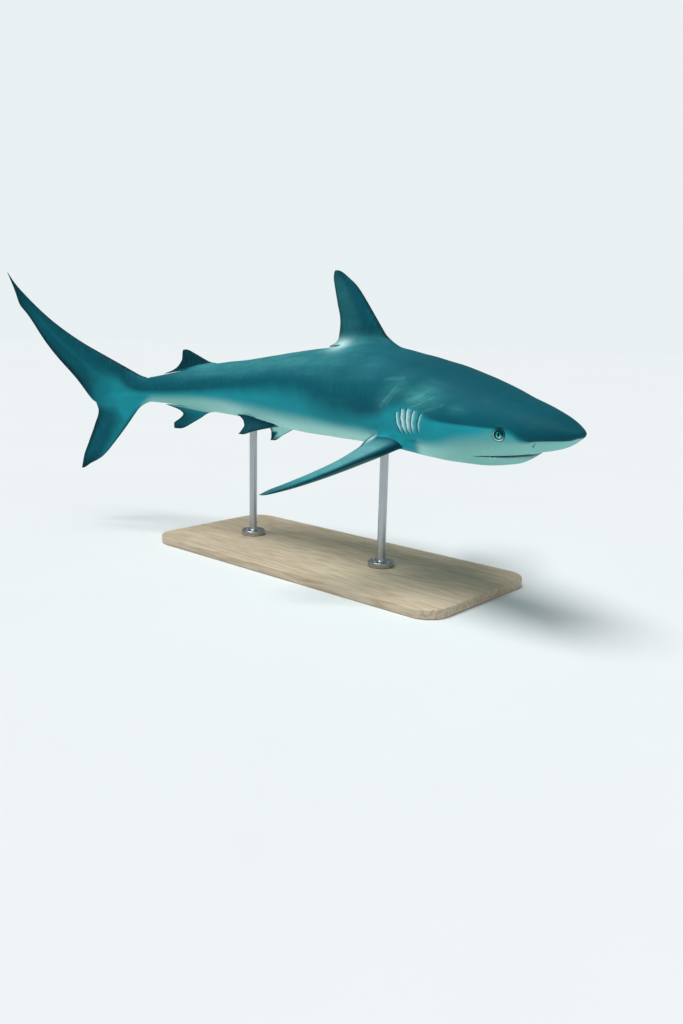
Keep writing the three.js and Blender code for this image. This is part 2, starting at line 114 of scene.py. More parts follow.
# %% [markdown]
# ## The body's form
#
# A shark's trunk is a loft: a row of cross-sections, each a squashed circle.  Sixteen measured
# sections are enough, because a smooth curve runs through their heights and widths.  The position
# is rooted before it is looked up, which crowds the detail into the snout and makes it close round.
# Past the tail stem the sections tilt and flatten into the tail's long upper lobe, so body and lobe
# are one unbroken surface.

# %% Sections of the trunk and of the upper lobe
# [station, back, belly, widest line, half width, squareness above and below the widest line]
BODY_ROWS = [
    [0, 0, 0, 0, 0, 2.0, 2.0],
    [0.8, 0.58, -0.75, -0.15, 1.4, 2.1, 2.3],
    [3, 1.6, -1.9, -0.4, 2.9, 2.1, 2.5],
    [5.7, 2.45, -2.6, -0.6, 4.05, 2.1, 1.95],
    [6.6, 2.7, -3.35, -0.6, 4.3, 2.1, 1.7],
    [8.2, 3.15, -4.0, -0.6, 4.7, 2.1, 1.85],
    [11.7, 4.25, -4.55, -0.4, 5.3, 2.1, 2.4],
    [17.7, 5.7, -4.75, 0.2, 6.0, 2.1, 2.4],
    [24.7, 6.9, -4.5, 0.8, 6.3, 2.0, 2.3],
    [32.7, 7.85, -4.35, 1.1, 6.15, 1.95, 2.3],
    [40.7, 6.9, -4.4, 1.0, 5.4, 1.95, 2.2],
    [48.7, 5.75, -4.05, 0.8, 4.3, 1.95, 2.1],
    [55.7, 4.65, -3.2, 0.6, 3.3, 1.95, 2.1],
    [61.7, 4.0, -2.75, 0.5, 2.5, 1.95, 2.1],
    [67.7, 2.6, -2.15, 0.15, 1.65, 2.0, 2.0],
    [73.0, 1.5, -1.9, -0.1, 1.15, 2.0, 2.0],
]
# [share of the way along, upper station and height, lower station and height, half width,
#  place of the thickest part from the upper edge]
LOBE_ROWS = [
    [0, 73.0, 1.5, 73.0, -1.9, 1.15, 0.48],
    [0.18, 76.3, 3.1, 77.9, -2.5, 0.95, 0.4],
    [0.34, 79.7, 4.75, 81.2, -2.75, 0.75, 0.3],
    [0.5, 83.3, 6.6, 84.3, 0.85, 0.52, 0.28],
    [0.68, 87.3, 9.25, 88.3, 5.3, 0.34, 0.3],
    [0.76, 89.0, 10.65, 90.2, 8.1, 0.27, 0.3],
    [0.84, 90.7, 12.25, 91.8, 10.9, 0.2, 0.35],
    [0.88, 91.6, 13.2, 92.6, 11.5, 0.17, 0.4],
    [0.95, 93.2, 15.0, 93.4, 14.1, 0.1, 0.5],
    [1, 94.3, 16.7, 94.3, 16.6, 0.03, 0.5],
]
STEM_END = BODY_ROWS[-1][0]
FIRST_ROOT = 0.05  # the square root of the first section's station
LOBE_RUN = 0.186  # the lobe's length on the run's scale, where the trunk is 1
HALF_EDGE = mm(0.3)  # half the thickness left at a fin's thin edge

rooted_sizes = smooth_rows([[math.sqrt(row[0]), *row[1:]] for row in BODY_ROWS])
lobe_sizes = smooth_rows(LOBE_ROWS)


def body_sizes(station):
    """Back, belly, widest line, half width and the two squarenesses at each station."""
    return rooted_sizes(np.sqrt(np.clip(station, 0, STEM_END))).T


def signed_power(value, power):
    return np.sign(value) * np.abs(value) ** power


def trunk_point(station, cosine, sine):
    back, belly, widest, half, square_above, square_below = body_sizes(station)
    above = cosine >= 0
    power = 2 / np.where(above, square_above, square_below)
    reach = np.where(above, back - widest, widest - belly)
    up = widest + signed_power(cosine, power) * reach
    return np.stack([station, signed_power(sine, power) * half, up], 1)


def lobe_point(share, cosine, sine):
    upper_at, upper_up, lower_at, lower_up, half, thickest = lobe_sizes(share).T
    along = (1 - cosine) / 2 - (0.5 - thickest) * sine**2
    station = upper_at + (lower_at - upper_at) * along
    up = upper_up + (lower_up - upper_up) * along
    return np.stack([station, sine * (half + HALF_EDGE), up], 1)


def raw_body_point(run, cosine, sine):
    """A point of the surface: run goes from 0 at the snout past 1 at the end of the stem."""
    root = FIRST_ROOT + (math.sqrt(STEM_END) - FIRST_ROOT) * np.clip(run, 0, 1)
    on_trunk = trunk_point(root * root, cosine, sine)
    on_lobe = lobe_point(np.clip((run - 1) / LOBE_RUN, 0, 1), cosine, sine)
    return np.where((run <= 1)[:, None], on_trunk, on_lobe)


# %% [markdown]
# The curve through the sections has no corners, yet its bend changes a little at each row, and a
# shiny surface shows even that.  Averaging every point with its neighbours fore and aft irons it
# out, like a sanding block with a long face.  The block is short at the snout and at the lobe's tip,
# which should keep their shapes.

# %% The smoothed surface and its normals
SANDING = [(-2, 1), (-1, 3), (0, 4), (1, 3), (2, 1)]  # steps of the block, and their weights
SANDING_STEP = 0.006  # on the run's scale
SANDING_EASE = 0.25, 0.04  # the block grows to its length over these runs from each end
RUN_END = 1 + LOBE_RUN


def body_point(run, cosine, sine):
    fore, aft = SANDING_EASE
    room = np.minimum(smooth_step(0, fore, run), smooth_step(0, aft, RUN_END - run))
    total = sum(weight for _, weight in SANDING)
    return sum(
        weight / total * raw_body_point(run + step * SANDING_STEP * room, cosine, sine)
        for step, weight in SANDING
    )


def body_normal(run, angle):
    """The outward direction, from points a nudge before, behind and to either side."""
    nudge, least = 1e-3, 1e-12
    fore, aft = (body_point(run + way * nudge, np.cos(angle), np.sin(angle)) for way in (-1, 1))
    down, up = (
        body_point(run, np.cos(angle + way * nudge), np.sin(angle + way * nudge))
        for way in (-1, 1)
    )
    normal = np.cross(aft - fore, up - down)
    return normal / np.maximum(np.linalg.norm(normal, axis=1), least)[:, None]


print("nose to fork:", round(float(body_point(np.array([1.0]), np.ones(1), np.zeros(1))[0, 0]), 1))

# %% [markdown]
# ## Fins as thin lofts
#
# Each fin is a stack of wing sections that shrink towards the tip.  Its outline is rows of height,
# front edge and rear edge, so the swept front, the hollow rear edge and the free tip behind the root
# come out of one small table.  Three rules put the flat stack on the animal: on the midline, out to
# the side at a droop, or under the tail.

# %% Wing sections and fin stacks
FOIL_PEAK = math.sqrt(1 / 3) * 2 / 3
EDGE_SLOPE = 8  # how soon behind its front edge a fin has its least thickness
THINNING = 1.2  # how fast a fin thins towards its tip
CHORD_STEPS = 22
FINE_ZONE = 1.2  # up to this height the sections stand close, for the free tip
FINE_STEP = 0.09
COARSE_STEP = 0.24
TIP_ZONE = 0.85  # from this share of the height the sections crowd to the tip
TIP_SECTIONS = 12


def foil(x):
    """Fullness of a section: 0 at both edges, and 1 a third of the way back."""
    return np.sqrt(x) * (1 - x) / FOIL_PEAK


def section_heights(height, depth):
    """Heights for the sections, crowded at the root and at the tip."""
    fine = np.arange(0, min(FINE_ZONE, height / 2), FINE_STEP)
    coarse = np.arange(fine[-1] + FINE_STEP, height * TIP_ZONE, COARSE_STEP)
    start = coarse[-1] if len(coarse) else fine[-1]
    ease = np.sin(np.linspace(0, math.pi / 2, TIP_SECTIONS + 1)[1:])
    tip = start + (height - start) * ease
    return np.concatenate([[-depth], [-depth / 2], fine, coarse, tip])


def fin_stack(rows, thick, place, depth):
    """Points (sections, round the section, 3) of a fin, with its share up and its share back."""
    height = rows[-1][0]
    outline = smooth_rows([[-math.sqrt(1 - row[0] / height), row[1], row[2]] for row in rows])
    heights = section_heights(height, depth)
    root = np.sqrt(np.clip(1 - np.clip(heights, 0, None) / height, 0, 1))
    front, rear = outline(-root).T
    x = (1 - np.cos(np.linspace(0, math.pi, CHORD_STEPS + 1))) / 2
    x = np.concatenate([x, x[:0:-1]])
    way = np.concatenate([np.ones(CHORD_STEPS + 1), -np.ones(CHORD_STEPS)])
    side = np.outer(thick * root**THINNING, foil(x)) + HALF_EDGE * np.minimum(1, x * EDGE_SLOPE)
    station = front[:, None] + (rear - front)[:, None] * x
    up = np.broadcast_to(heights[:, None], station.shape)
    points = place(station, up, side * way)
    shares = np.stack([up / height, np.broadcast_to(x, up.shape)], -1)
    return points, shares


def midline_place(rows, way):
    """For a fin on the back (way 1) or the belly (way -1), lying close over it at its foot."""
    height, foot_at = rows[-1][0], rows[0][1]

    def edge(station):
        return body_sizes(np.ravel(station))[0 if way > 0 else 1].reshape(np.shape(station))

    def place(station, up, side):
        straightening = smooth_step(0, 0.5, up / height) / 2
        foot = edge(station) * (1 - straightening) + edge(foot_at) * straightening
        return np.stack([station, side, foot + way * up], -1)

    return place


def paired_place(rows, root, droop, curl, pitch, left):
    """For a fin that leaves the side at root = (station, out, up), drooping more towards its tip."""
    height = rows[-1][0]
    aft, lift = math.cos(math.radians(pitch)), math.sin(math.radians(pitch))

    def place(station, up, side):
        angle = np.radians(droop + curl * up / height)
        sheet = station * lift
        out = root[1] + up * np.cos(angle) - sheet * np.sin(angle) + side * np.sin(angle)
        high = root[2] - up * np.sin(angle) - sheet * np.cos(angle) + side * np.cos(angle)
        return np.stack([root[0] + station * aft, out if left else -out, high], -1)

    return place


LOBE_FOOT_FRONT, LOBE_FOOT_REAR = -1.8, -2.5  # the heights from which the lower lobe hangs


def lobe_place(rows):
    """For the tail's lower lobe, which hangs under the upper one."""
    front, rear = rows[0][1:]

    def place(station, up, side):
        share = np.clip((station - front) / (rear - front), 0, 1)
        foot = LOBE_FOOT_FRONT + (LOBE_FOOT_REAR - LOBE_FOOT_FRONT) * share
        return np.stack([station, side, foot - up], -1)

    return place


# %% [markdown]
# The tables below are the fins themselves: heights, then where the front and rear edges stand.  The
# left and right pectoral fins share one outline, as do the pelvic fins, and differ in their droop,
# because a turning shark steers with them.

# %% The outlines of the fins
FIRST_DORSAL = [
    [0, 28.6, 38.4], [0.12, 28.7, 40.0], [0.5, 29.05, 38.8], [1.1, 29.75, 38.2], [3.0, 31.4, 37.9],
    [5.2, 33.2, 38.35], [7.0, 34.8, 38.75], [8.4, 36.6, 39.0], [9.3, 38.6, 38.7],
]
SECOND_DORSAL = [
    [0, 60.7, 66.3], [0.08, 61.0, 69.8], [0.3, 61.5, 68.0], [0.6, 62.1, 67.0], [1.1, 63.1, 66.4],
    [1.9, 64.5, 66.3], [2.4, 65.8, 66.1],
]
ANAL = [
    [0, 61.2, 66.5], [0.15, 61.6, 69.7], [0.4, 62.1, 68.4], [0.7, 62.6, 67.1], [1.05, 63.1, 66.6],
    [1.7, 64.2, 67.2], [2.55, 65.6, 68.3], [3.3, 67.6, 68.3],
]
PECTORAL = [
    [0, 0, 6.3], [0.4, 0.3, 6.75], [1.3, 0.85, 6.9], [2.5, 1.7, 6.65], [3.4, 2.35, 6.85],
    [5.0, 3.6, 7.35], [8.0, 5.9, 8.95], [11.0, 8.5, 11.0], [13.2, 10.9, 12.6], [14.2, 12.9, 13.1],
]
PELVIC = [
    [0, -1.3, 5.0], [0.2, -1.1, 7.4], [0.6, -0.7, 6.6], [1.2, 0.3, 5.7], [2.2, 2.2, 4.95],
    [2.9, 3.4, 4.95], [3.5, 4.5, 5.15],
]
LOWER_LOBE = [
    [0, 72.9, 81.5], [1.2, 74.3, 81.2], [3.4, 76.2, 81.95], [6.0, 78.5, 83.05], [8.4, 80.9, 84.05],
    [9.8, 83.3, 84.4], [10.4, 84.4, 84.6],
]

# %% The eight fins on their places
PECTORAL_ROOT = (19.8, 5.0, -2.5)  # station, out and up
PELVIC_ROOT = (47.2, 2.2, -3.0)


def fin(rows, place, thick, depth, fillet, root_at=0):
    """All that a fin needs; depth is how far its stack runs on into the body."""
    return dict(rows=rows, place=place, thick=thick, depth=depth, fillet=fillet, root_at=root_at)


def pectoral(droop, curl, pitch, left):
    place = paired_place(PECTORAL, PECTORAL_ROOT, droop, curl, pitch, left)
    return fin(PECTORAL, place, thick=0.72, depth=2.5, fillet=1.3, root_at=PECTORAL_ROOT[0])


def pelvic(droop, curl, pitch, left):
    place = paired_place(PELVIC, PELVIC_ROOT, droop, curl, pitch, left)
    return fin(PELVIC, place, thick=0.35, depth=1.2, fillet=0.8, root_at=PELVIC_ROOT[0])


def midline(rows, way, thick, fillet):
    return fin(rows, midline_place(rows, way), thick, depth=1.2, fillet=fillet)


FINS = {
    "first_dorsal": midline(FIRST_DORSAL, 1, thick=0.62, fillet=1.5),
    "second_dorsal": midline(SECOND_DORSAL, 1, thick=0.3, fillet=0.6),
    "anal": midline(ANAL, -1, thick=0.3, fillet=0.6),
    "pectoral_right": pectoral(droop=30, curl=-3.5, pitch=-1, left=False),
    "pectoral_left": pectoral(droop=3, curl=4, pitch=0, left=True),
    "pelvic_right": pelvic(droop=32, curl=5, pitch=-6, left=False),
    "pelvic_left": pelvic(droop=84, curl=5, pitch=8, left=True),
    "lower_lobe": fin(LOWER_LOBE, lobe_place(LOWER_LOBE), thick=0.55, depth=0.6, fillet=1.2),
}

# %% [markdown]
# A stack of sections becomes a closed mesh in the same way for every fin: neighbouring sections are
# joined by quads, and the first and last are capped.  If the stack happens to turn the other way,
# its volume comes out negative, and the faces are flipped so that they all point outwards.

# %% Stacks to closed meshes


def ring_faces(rings, around):
    """Quads between rings of points, and a cap at each end."""
    ring, k = np.meshgrid(np.arange(rings - 1), np.arange(around), indexing="ij")
    a = ring * around + k
    b = ring * around + (k + 1) % around
    quads = np.stack([a, b, b + around, a + around], -1).reshape(-1, 4).tolist()
    last = (rings - 1) * around
    return quads + [list(range(around))[::-1], list(range(last, last + around))]


def mesh_from(name, points, faces, edges=()):
    mesh = bpy.data.meshes.new(name)
    mesh.from_pydata(points.tolist(), edges, faces)
    return mesh


def outward(mesh):
    """Turns all the faces round where the mesh is inside out."""
    work = bmesh.new()
    work.from_mesh(mesh)
    if work.calc_volume(signed=True) < 0:
        bmesh.ops.reverse_faces(work, faces=work.faces)
        work.to_mesh(mesh)
    work.free()
    return mesh


def loft(name, rings):
    """A closed mesh through rings that all have the same number of points."""
    rings = np.asarray(rings)
    return outward(mesh_from(name, rings.reshape(-1, 3), ring_faces(*rings.shape[:2])))


def corners(mesh):
    """The mesh's points as an array."""
    flat = np.empty(len(mesh.vertices) * 3)
    mesh.vertices.foreach_get("co", flat)
    return flat.reshape(-1, 3)


fin_meshes, fin_shares = {}, {}
for name, made in FINS.items():
    points, shares = fin_stack(made["rows"], made["thick"], made["place"], made["depth"])
    fin_meshes[name] = loft(name, points)
    fin_shares[name] = shares.reshape(-1, 2)
print("fins:", {name: len(mesh.polygons) for name, mesh in fin_meshes.items()})

# %% [markdown]
# ## Where the head's features sit
#
# A shark's face is a set of small dents and swellings in one skin: five gill slits with loose
# flaps, an eye in a socket behind a ring of lid, a nostril under the snout, and a mouth slung
# beneath.  They could be cut out with booleans, but cuts leave hard rims.  Here each feature is a
# rule that says how far the skin rises or sinks, and the mesh is made fine only where one is at work.

# %% Places of the eye, nostril, gill slits and mouth
EYE = dict(station=6.95, up=-0.4, opening=9.0, lid=12.2, longer=1.04)  # radii in millimetres
NOSTRIL = dict(low=(3.75, -1.42), high=(3.3, -0.9), wide=1.1, narrow=0.5, deep=2.6)
# the top and the bottom of each slit, [station, up, station, up], and how far forward of it
# the flap carries a painted highlight, in millimetres
SLITS = [
    [17.0, 0.9, 17.35, -1.3, 2.6],
    [18.15, 1.15, 18.3, -1.45, 4.5],
    [19.15, 1.3, 18.95, -1.6, 7.0],
    [20.1, 1.2, 19.6, -1.65, 8.0],
    [20.95, 0.8, 20.25, -1.6, 5.0],
]
SLIT_BOW = 0.2  # how far the middle of a slit bows towards the tail
SLIT_WAVE = 0.03  # and how far its edge wavers
MOUTH = dict(front=5.75, corner=10.6, front_up=-2.68, corner_up=-3.05, open=0.24)


def from_eye(points):
    """Distance from the eye's centre in millimetres, and the direction: 0 is aft, 90 is up."""
    aft = (points[:, 0] - EYE["station"]) / mm(1) / EYE["longer"]
    up = (points[:, 2] - EYE["up"]) / mm(1)
    return np.hypot(aft, up), np.degrees(np.arctan2(up, aft))


def from_slit(points, slit):
    """Share along a slit, -1 to 1, and the distance behind it in millimetres."""
    top_at, top_up, low_at, low_up, _ = slit
    share = (points[:, 2] - (top_up + low_up) / 2) / ((top_up - low_up) / 2)
    line = (top_at + low_at) / 2 + (top_at - low_at) / 2 * share
    line += SLIT_BOW * (1 - np.clip(share, -1, 1) ** 2)
    line += SLIT_WAVE * np.sin(7 * points[:, 2] + 5 * top_at)
    return share, (points[:, 0] - line) / mm(1)


def from_nostril(points):
    """Distance from the nostril's line in millimetres, and the share of the way up it."""
    low, high = np.array(NOSTRIL["low"]), np.array(NOSTRIL["high"])
    flat = points[:, [0, 2]]
    share = np.clip((flat - low) @ (high - low) / ((high - low) @ (high - low)), 0, 1)
    away = flat - low - share[:, None] * (high - low)
    return np.linalg.norm(away, axis=1) / mm(1), share, away[:, 0]


def mouth_plane(station):
    """The middle height of the open mouth, and half the height that it is open by."""
    share = (station - MOUTH["front"]) / (MOUTH["corner"] - MOUTH["front"])
    middle = MOUTH["front_up"] + (MOUTH["corner_up"] - MOUTH["front_up"]) * share
    return middle, MOUTH["open"] / 2 * (1 - share) + mm(0.05)


def above_mouth(points):
    """Height above the plane between the jaws, in millimetres."""
    return (points[:, 2] - mouth_plane(points[:, 0])[0]) / mm(1)


# %% [markdown]
# The rules come next, in millimetres.  A gill flap swells towards its free edge, then the skin
# drops into the slit and climbs out again on the next arch.  The eyelid is a soft ring with a furrow
# outside it, and inside it the skin dives to line the socket.  Sharks of this kind also have a low
# ridge along the back between the two dorsal fins, and a pit above and below the root of the tail.

# %% How far the skin rises or sinks
# how far each feature stands out of the skin, or sinks into it, in millimetres
SWELL = dict(
    gill_flap=1.3, gill_slot=-3.4, gill_arch=-0.8,
    lid=1.1, lid_furrow=-0.9, brow=1.4, socket=-9.5,
    nostril_flap=0.8, upper_lip=0.8, lower_lip=0.5, mouth_corner=-1.1, chin=-2.2,
    ridge=2.0, upper_pit=-3.6, lower_pit=-1.2, slow_flesh=0.35, quick_flesh=0.15,
)


def bell(value, width):
    """1 at nothing, and falling smoothly away on both sides, to a third at the width."""
    return np.exp(-((value / width) ** 2))


def fade_out(full, gone, value):
    """smooth_step turned over: 1 up to full, and 0 from gone."""
    return 1 - smooth_step(full, gone, value)


def window(begins, full, fades, gone, value):
    """Rises to 1 between the first two values, and falls to 0 between the last two."""
    return smooth_step(begins, full, value) * fade_out(fades, gone, value)


def gill_relief(points):
    """A swollen flap in front of each slit, then the slit, then the dip before the next arch."""
    rise = np.zeros(len(points))
    for slit in SLITS:
        share, behind = from_slit(points, slit)
        reach = np.sqrt(np.clip(1 - share**2, 0, 1))
        flap = SWELL["gill_flap"] * np.exp(np.minimum(behind, 0) / 8) * fade_out(-0.2, 0.9, behind)
        slot = SWELL["gill_slot"] * window(-0.1, 1.0, 3.0, 6.0, behind)
        arch = SWELL["gill_arch"] * smooth_step(0.6, 2.4, behind) * np.exp(-np.maximum(behind, 0) / 7)
        rise += reach * (flap + slot + arch) * (np.abs(behind) < 25)
    return rise


def eye_relief(points):
    """The ring of lid, a furrow round it, a brow over it and the socket inside it."""
    away, direction = from_eye(points)
    opening, lid = EYE["opening"], EYE["lid"]
    above = np.clip(np.sin(np.radians(direction)), 0, 1)
    ring = SWELL["lid"] * bell(away - (opening + lid) / 2 - 0.2, 1.5)
    furrow = SWELL["lid_furrow"] * bell(away - lid - 0.5, 0.8)
    brow = SWELL["brow"] * bell(away - lid - 4, 2.6) * above**1.5
    socket = SWELL["socket"] * fade_out(opening - 1.0, opening + 0.5, away)
    return (ring + furrow + brow + socket) * (away < 30)


def nostril_relief(points):
    """A narrowing hole, with a flap of skin along its front."""
    away, share, aft = from_nostril(points)
    radius = NOSTRIL["wide"] + (NOSTRIL["narrow"] - NOSTRIL["wide"]) * share
    hole = -NOSTRIL["deep"] * (1 - 0.5 * share) * fade_out(0.5, 1.3, away / radius)
    flap = SWELL["nostril_flap"] * bell(away - radius - 1.2, 1.2) * (aft < 0)
    return (hole + flap) * (points[:, 2] < 0)


def chin_relief(station):
    """How far the lower jaw sinks behind the upper lip at the front of the mouth."""
    return SWELL["chin"] * bell(station - 6.0, 1.2)


def lip_relief(points):
    """A fold along each jaw, a crease at the corner of the mouth, and the chin."""
    above = above_mouth(points)
    station = points[:, 0]
    lips = SWELL["upper_lip"] * bell(above - 2.6, 1.7) + SWELL["lower_lip"] * bell(above + 3.0, 2.0)
    crease = SWELL["mouth_corner"] * bell(above, 0.8) * smooth_step(9.2, 10.2, station)
    along = window(5.75, 6.4, 10.2, 11.4, station)
    chin = chin_relief(station) * fade_out(-2.0, 0.5, above)
    return ((lips + crease) * along + chin) * (points[:, 2] < 0)


def back_relief(points):
    """The ridge between the dorsal fins, and the pits over and under the root of the tail."""
    station, across = points[:, 0], points[:, 1] / mm(1)
    ridge = SWELL["ridge"] * bell(across, 4.5) * window(39.5, 44, 57, 60.5, station)
    upper_pit = SWELL["upper_pit"] * bell((station - 72.5) / mm(1), 5) * bell(across, 13)
    lower_pit = SWELL["lower_pit"] * bell((station - 72.4) / mm(1), 5) * bell(across, 10)
    return np.where(points[:, 2] > 0, ridge + upper_pit, lower_pit)


def muscle_relief(points):
    """Slow unevenness of the flesh, well under a millimetre."""
    station, across, up = points.T
    slow = np.sin(0.9 * station + 1.3 * up) * np.sin(0.55 * up - 0.35 * station + across)
    quick = np.sin(1.9 * station - 1.1 * up) * np.sin(1.4 * up + 0.8 * across)
    flesh = SWELL["slow_flesh"] * slow + SWELL["quick_flesh"] * quick
    return flesh * smooth_step(2, 8, station) * (station < STEM_END)


RELIEF_RULES = [gill_relief, eye_relief, nostril_relief, lip_relief, back_relief, muscle_relief]


def relief(points):
    """The sum of all the rules, in hundredths of the length."""
    return mm(1) * sum(rule(points) for rule in RELIEF_RULES)


# %% [markdown]
# ## The body mesh, fine only where it matters
#
# The grid's rings stand a few millimetres apart, closer at the snout.  Every point keeps its place on
# the run and round the section, so that when a face is cut into four the new points can be put
# exactly on the surface.  The slits, the eye and the nostril are cut three times over, which brings
# the edges there to about half a millimetre without loading the flanks.

# %% The grid of the body
AROUND = 100  # points round each ring


def full_turn(steps):
    """The angles of even steps round a circle."""
    return 2 * math.pi * np.arange(steps) / steps


RING_SPACING = one_size(
    [[0, 0.012], [0.3, 0.08], [2, 0.18], [10, 0.24], [24, 0.34], [40, 0.46], [66, 0.42], [73, 0.34]]
)
LOBE_RINGS = 76
stations = [FIRST_ROOT**2]
while stations[-1] < STEM_END:
    stations.append(stations[-1] + float(RING_SPACING(stations[-1])))
stations[-1] = STEM_END
trunk_runs = (np.sqrt(stations) - FIRST_ROOT) / (math.sqrt(STEM_END) - FIRST_ROOT)
lobe_runs = 1 + LOBE_RUN * np.linspace(0, 1, LOBE_RINGS + 1)[1:]
runs = np.repeat(np.concatenate([trunk_runs, lobe_runs]), AROUND)
angles = np.tile(full_turn(AROUND), len(runs) // AROUND)

body = mesh_from(
    "body",
    body_point(runs, np.cos(angles), np.sin(angles)),
    ring_faces(len(runs) // AROUND, AROUND),
)
for name, values in [("run", runs), ("cosine", np.cos(angles)), ("sine", np.sin(angles))]:
    body.attributes.new(name, "FLOAT", "POINT").data.foreach_set("value", values)
print("body grid:", len(body.polygons), "faces")

# %% Cutting faces into four near the features
FIN_SKIRT = 1.4  # how far round a fin's root the body is made finer
EYE_ZONES = (24, 21, 15)  # how far from the eye each level cuts, in millimetres
NOSE_ZONES = (16, 13, 6)  # and how far from the nostril
# (first station, last station, lowest, highest) of the stretches that are made finer
GILLS = (16.3, 21.8, -2.1, 1.7)
LIPS = (4.6, 11.6, -9, 0)
TAIL_PITS = (71.7, 73.3, -0.5, 9)
RIDGE = (39, 61, 0, 9)
RIDGE_HALF_WIDTH = 0.6


def search_tree(mesh):
    """What finds the nearest place on a mesh quickly."""
    faces = [tuple(face.vertices) for face in mesh.polygons]
    return BVHTree.FromPolygons(corners(mesh).tolist(), faces)


fin_trees = {name: search_tree(mesh) for name, mesh in fin_meshes.items()}


def near_fins(points):
    found = np.zeros(len(points), bool)
    for tree in fin_trees.values():
        for i in np.flatnonzero(~found):
            found[i] = tree.find_nearest(points[i], FIN_SKIRT)[0] is not None
    return found


def inside(points, stretch):
    """Which points lie in a stretch, on both sides of the animal."""
    first, last, lowest, highest = stretch
    station, up = points[:, 0], points[:, 2]
    return (station > first) & (station < last) & (up > lowest) & (up < highest)


def wants_cut(points, level):
    """Which face centres want their face cut at this level, from 1 to 3."""
    wanted = from_eye(points)[0] < EYE_ZONES[level - 1]
    wanted |= (from_nostril(points)[0] < NOSE_ZONES[level - 1]) & (points[:, 2] < 0)
    if level < 3:
        wanted |= inside(points, GILLS) | inside(points, TAIL_PITS)
        wanted |= inside(points, LIPS) & (np.abs(above_mouth(points)) < 8 - 2 * level)
    else:
        for slit in SLITS:
            share, behind = from_slit(points, slit)
            wanted |= (np.abs(share) < 1.05) & (behind > -2.5) & (behind < 5.6)
    if level == 1:
        wanted |= inside(points, RIDGE) & (np.abs(points[:, 1]) < RIDGE_HALF_WIDTH)
        wanted |= near_fins(points)
    return wanted


work = bmesh.new()
work.from_mesh(body)
for level in (1, 2, 3):
    centres = np.array([face.calc_center_median() for face in work.faces])
    chosen = wants_cut(centres, level)
    edges = {edge for face, cut in zip(work.faces, chosen) if cut for edge in face.edges}
    bmesh.ops.subdivide_edges(work, edges=list(edges), cuts=1, use_grid_fill=True)
    print("level", level, "cuts", int(chosen.sum()), "faces")
work.to_mesh(body)
work.free()


def read_floats(mesh, name):
    values = np.empty(len(mesh.vertices), np.float32)
    mesh.attributes[name].data.foreach_get("value", values)
    return values.astype(float)


run = read_floats(body, "run")
angle = np.arctan2(read_floats(body, "sine"), read_floats(body, "cosine"))
smooth_points = body_point(run, np.cos(angle), np.sin(angle))
body_points = smooth_points + relief(smooth_points)[:, None] * body_normal(run, angle)
smooth_body = body.copy()
smooth_body.vertices.foreach_set("co", smooth_points.ravel())
body.vertices.foreach_set("co", body_points.ravel())
outward(smooth_body)
outward(body)
print("body after cutting:", len(body.polygons), "faces")

# %% [markdown]
# ## One skin out of nine shapes
#
# The fins grow out of the body, so they are united with it into one closed mesh.  The Boolean
# modifier does this well, and its Manifold solver takes a moment where the Exact one takes minutes.
# The mouth is cut in the same way, with a wedge that narrows towards the corners of the jaws.

# %% Uniting the fins and opening the mouth


def in_scene(name, data):
    """A new object in the scene that holds a mesh, a light or a camera."""
    made = bpy.data.objects.new(name, data)
    bpy.context.scene.collection.objects.link(made)
    return made


def result_of(item):
    """What an object's modifiers make of its mesh, as a plain mesh."""
    return bpy.data.meshes.new_from_object(
        item.evaluated_get(bpy.context.evaluated_depsgraph_get())
    )


def boolean(base, other, operation):
    """The base mesh with the other one united with it or taken out of it, as a plain mesh."""
    pair = [in_scene("boolean", mesh) for mesh in (base, other)]
    join = pair[0].modifiers.new("join", "BOOLEAN")
    join.operation = operation
    join.solver = "MANIFOLD"
    join.object = pair[1]
    joined = result_of(pair[0])
    for item in pair:
        bpy.data.objects.remove(item)
    return joined


WEDGE_SIDE = 7  # wider than the head
WEDGE_CELL = 0.16  # the size of its grid's faces


def mouth_wedge():
    """A thin wedge across the head, gridded so that its cut faces have points to colour."""
    front, corner = MOUTH["front"], MOUTH["corner"]
    across = np.arange(-WEDGE_SIDE, WEDGE_SIDE + WEDGE_CELL, WEDGE_CELL)
    along = np.linspace(front, corner, round((corner - front) / WEDGE_CELL))
    return loft("wedge", [
        [(s, y, m - h) for y in across] + [(s, y, m + h) for y in across[::-1]]
        for s, m, h in zip(along, *mouth_plane(along))
    ])


wedge = mouth_wedge()
skin = body
for mesh in fin_meshes.values():
    skin = boolean(skin, mesh, "UNION")
skin = boolean(skin, wedge, "DIFFERENCE")
print("united skin:", len(skin.polygons), "faces")

# %% [markdown]
# ## Fillets where the fins grow out
#
# A union leaves a sharp corner between fin and flank, where flesh has a soft web.  Every point near
# the corner knows how far it is from the body and from the fin, and a smooth minimum of the two
# distances describes a surface with the corner filled in.  Moving each point along the slope until
# that smooth distance is nothing puts it on the fillet.  The lips are rounded in the same way.

# %% Smooth distances
SETTLE_STEPS = 4


def signed(tree, point):
    """How far a point is outside a closed mesh, and the direction that leads away from it."""
    where, normal, _, distance = tree.find_nearest(point)
    away = point - where
    if distance < 1e-5:
        return 0.0, normal
    side = 1 if away.dot(normal) > 0 else -1
    return side * distance, away * (side / distance)


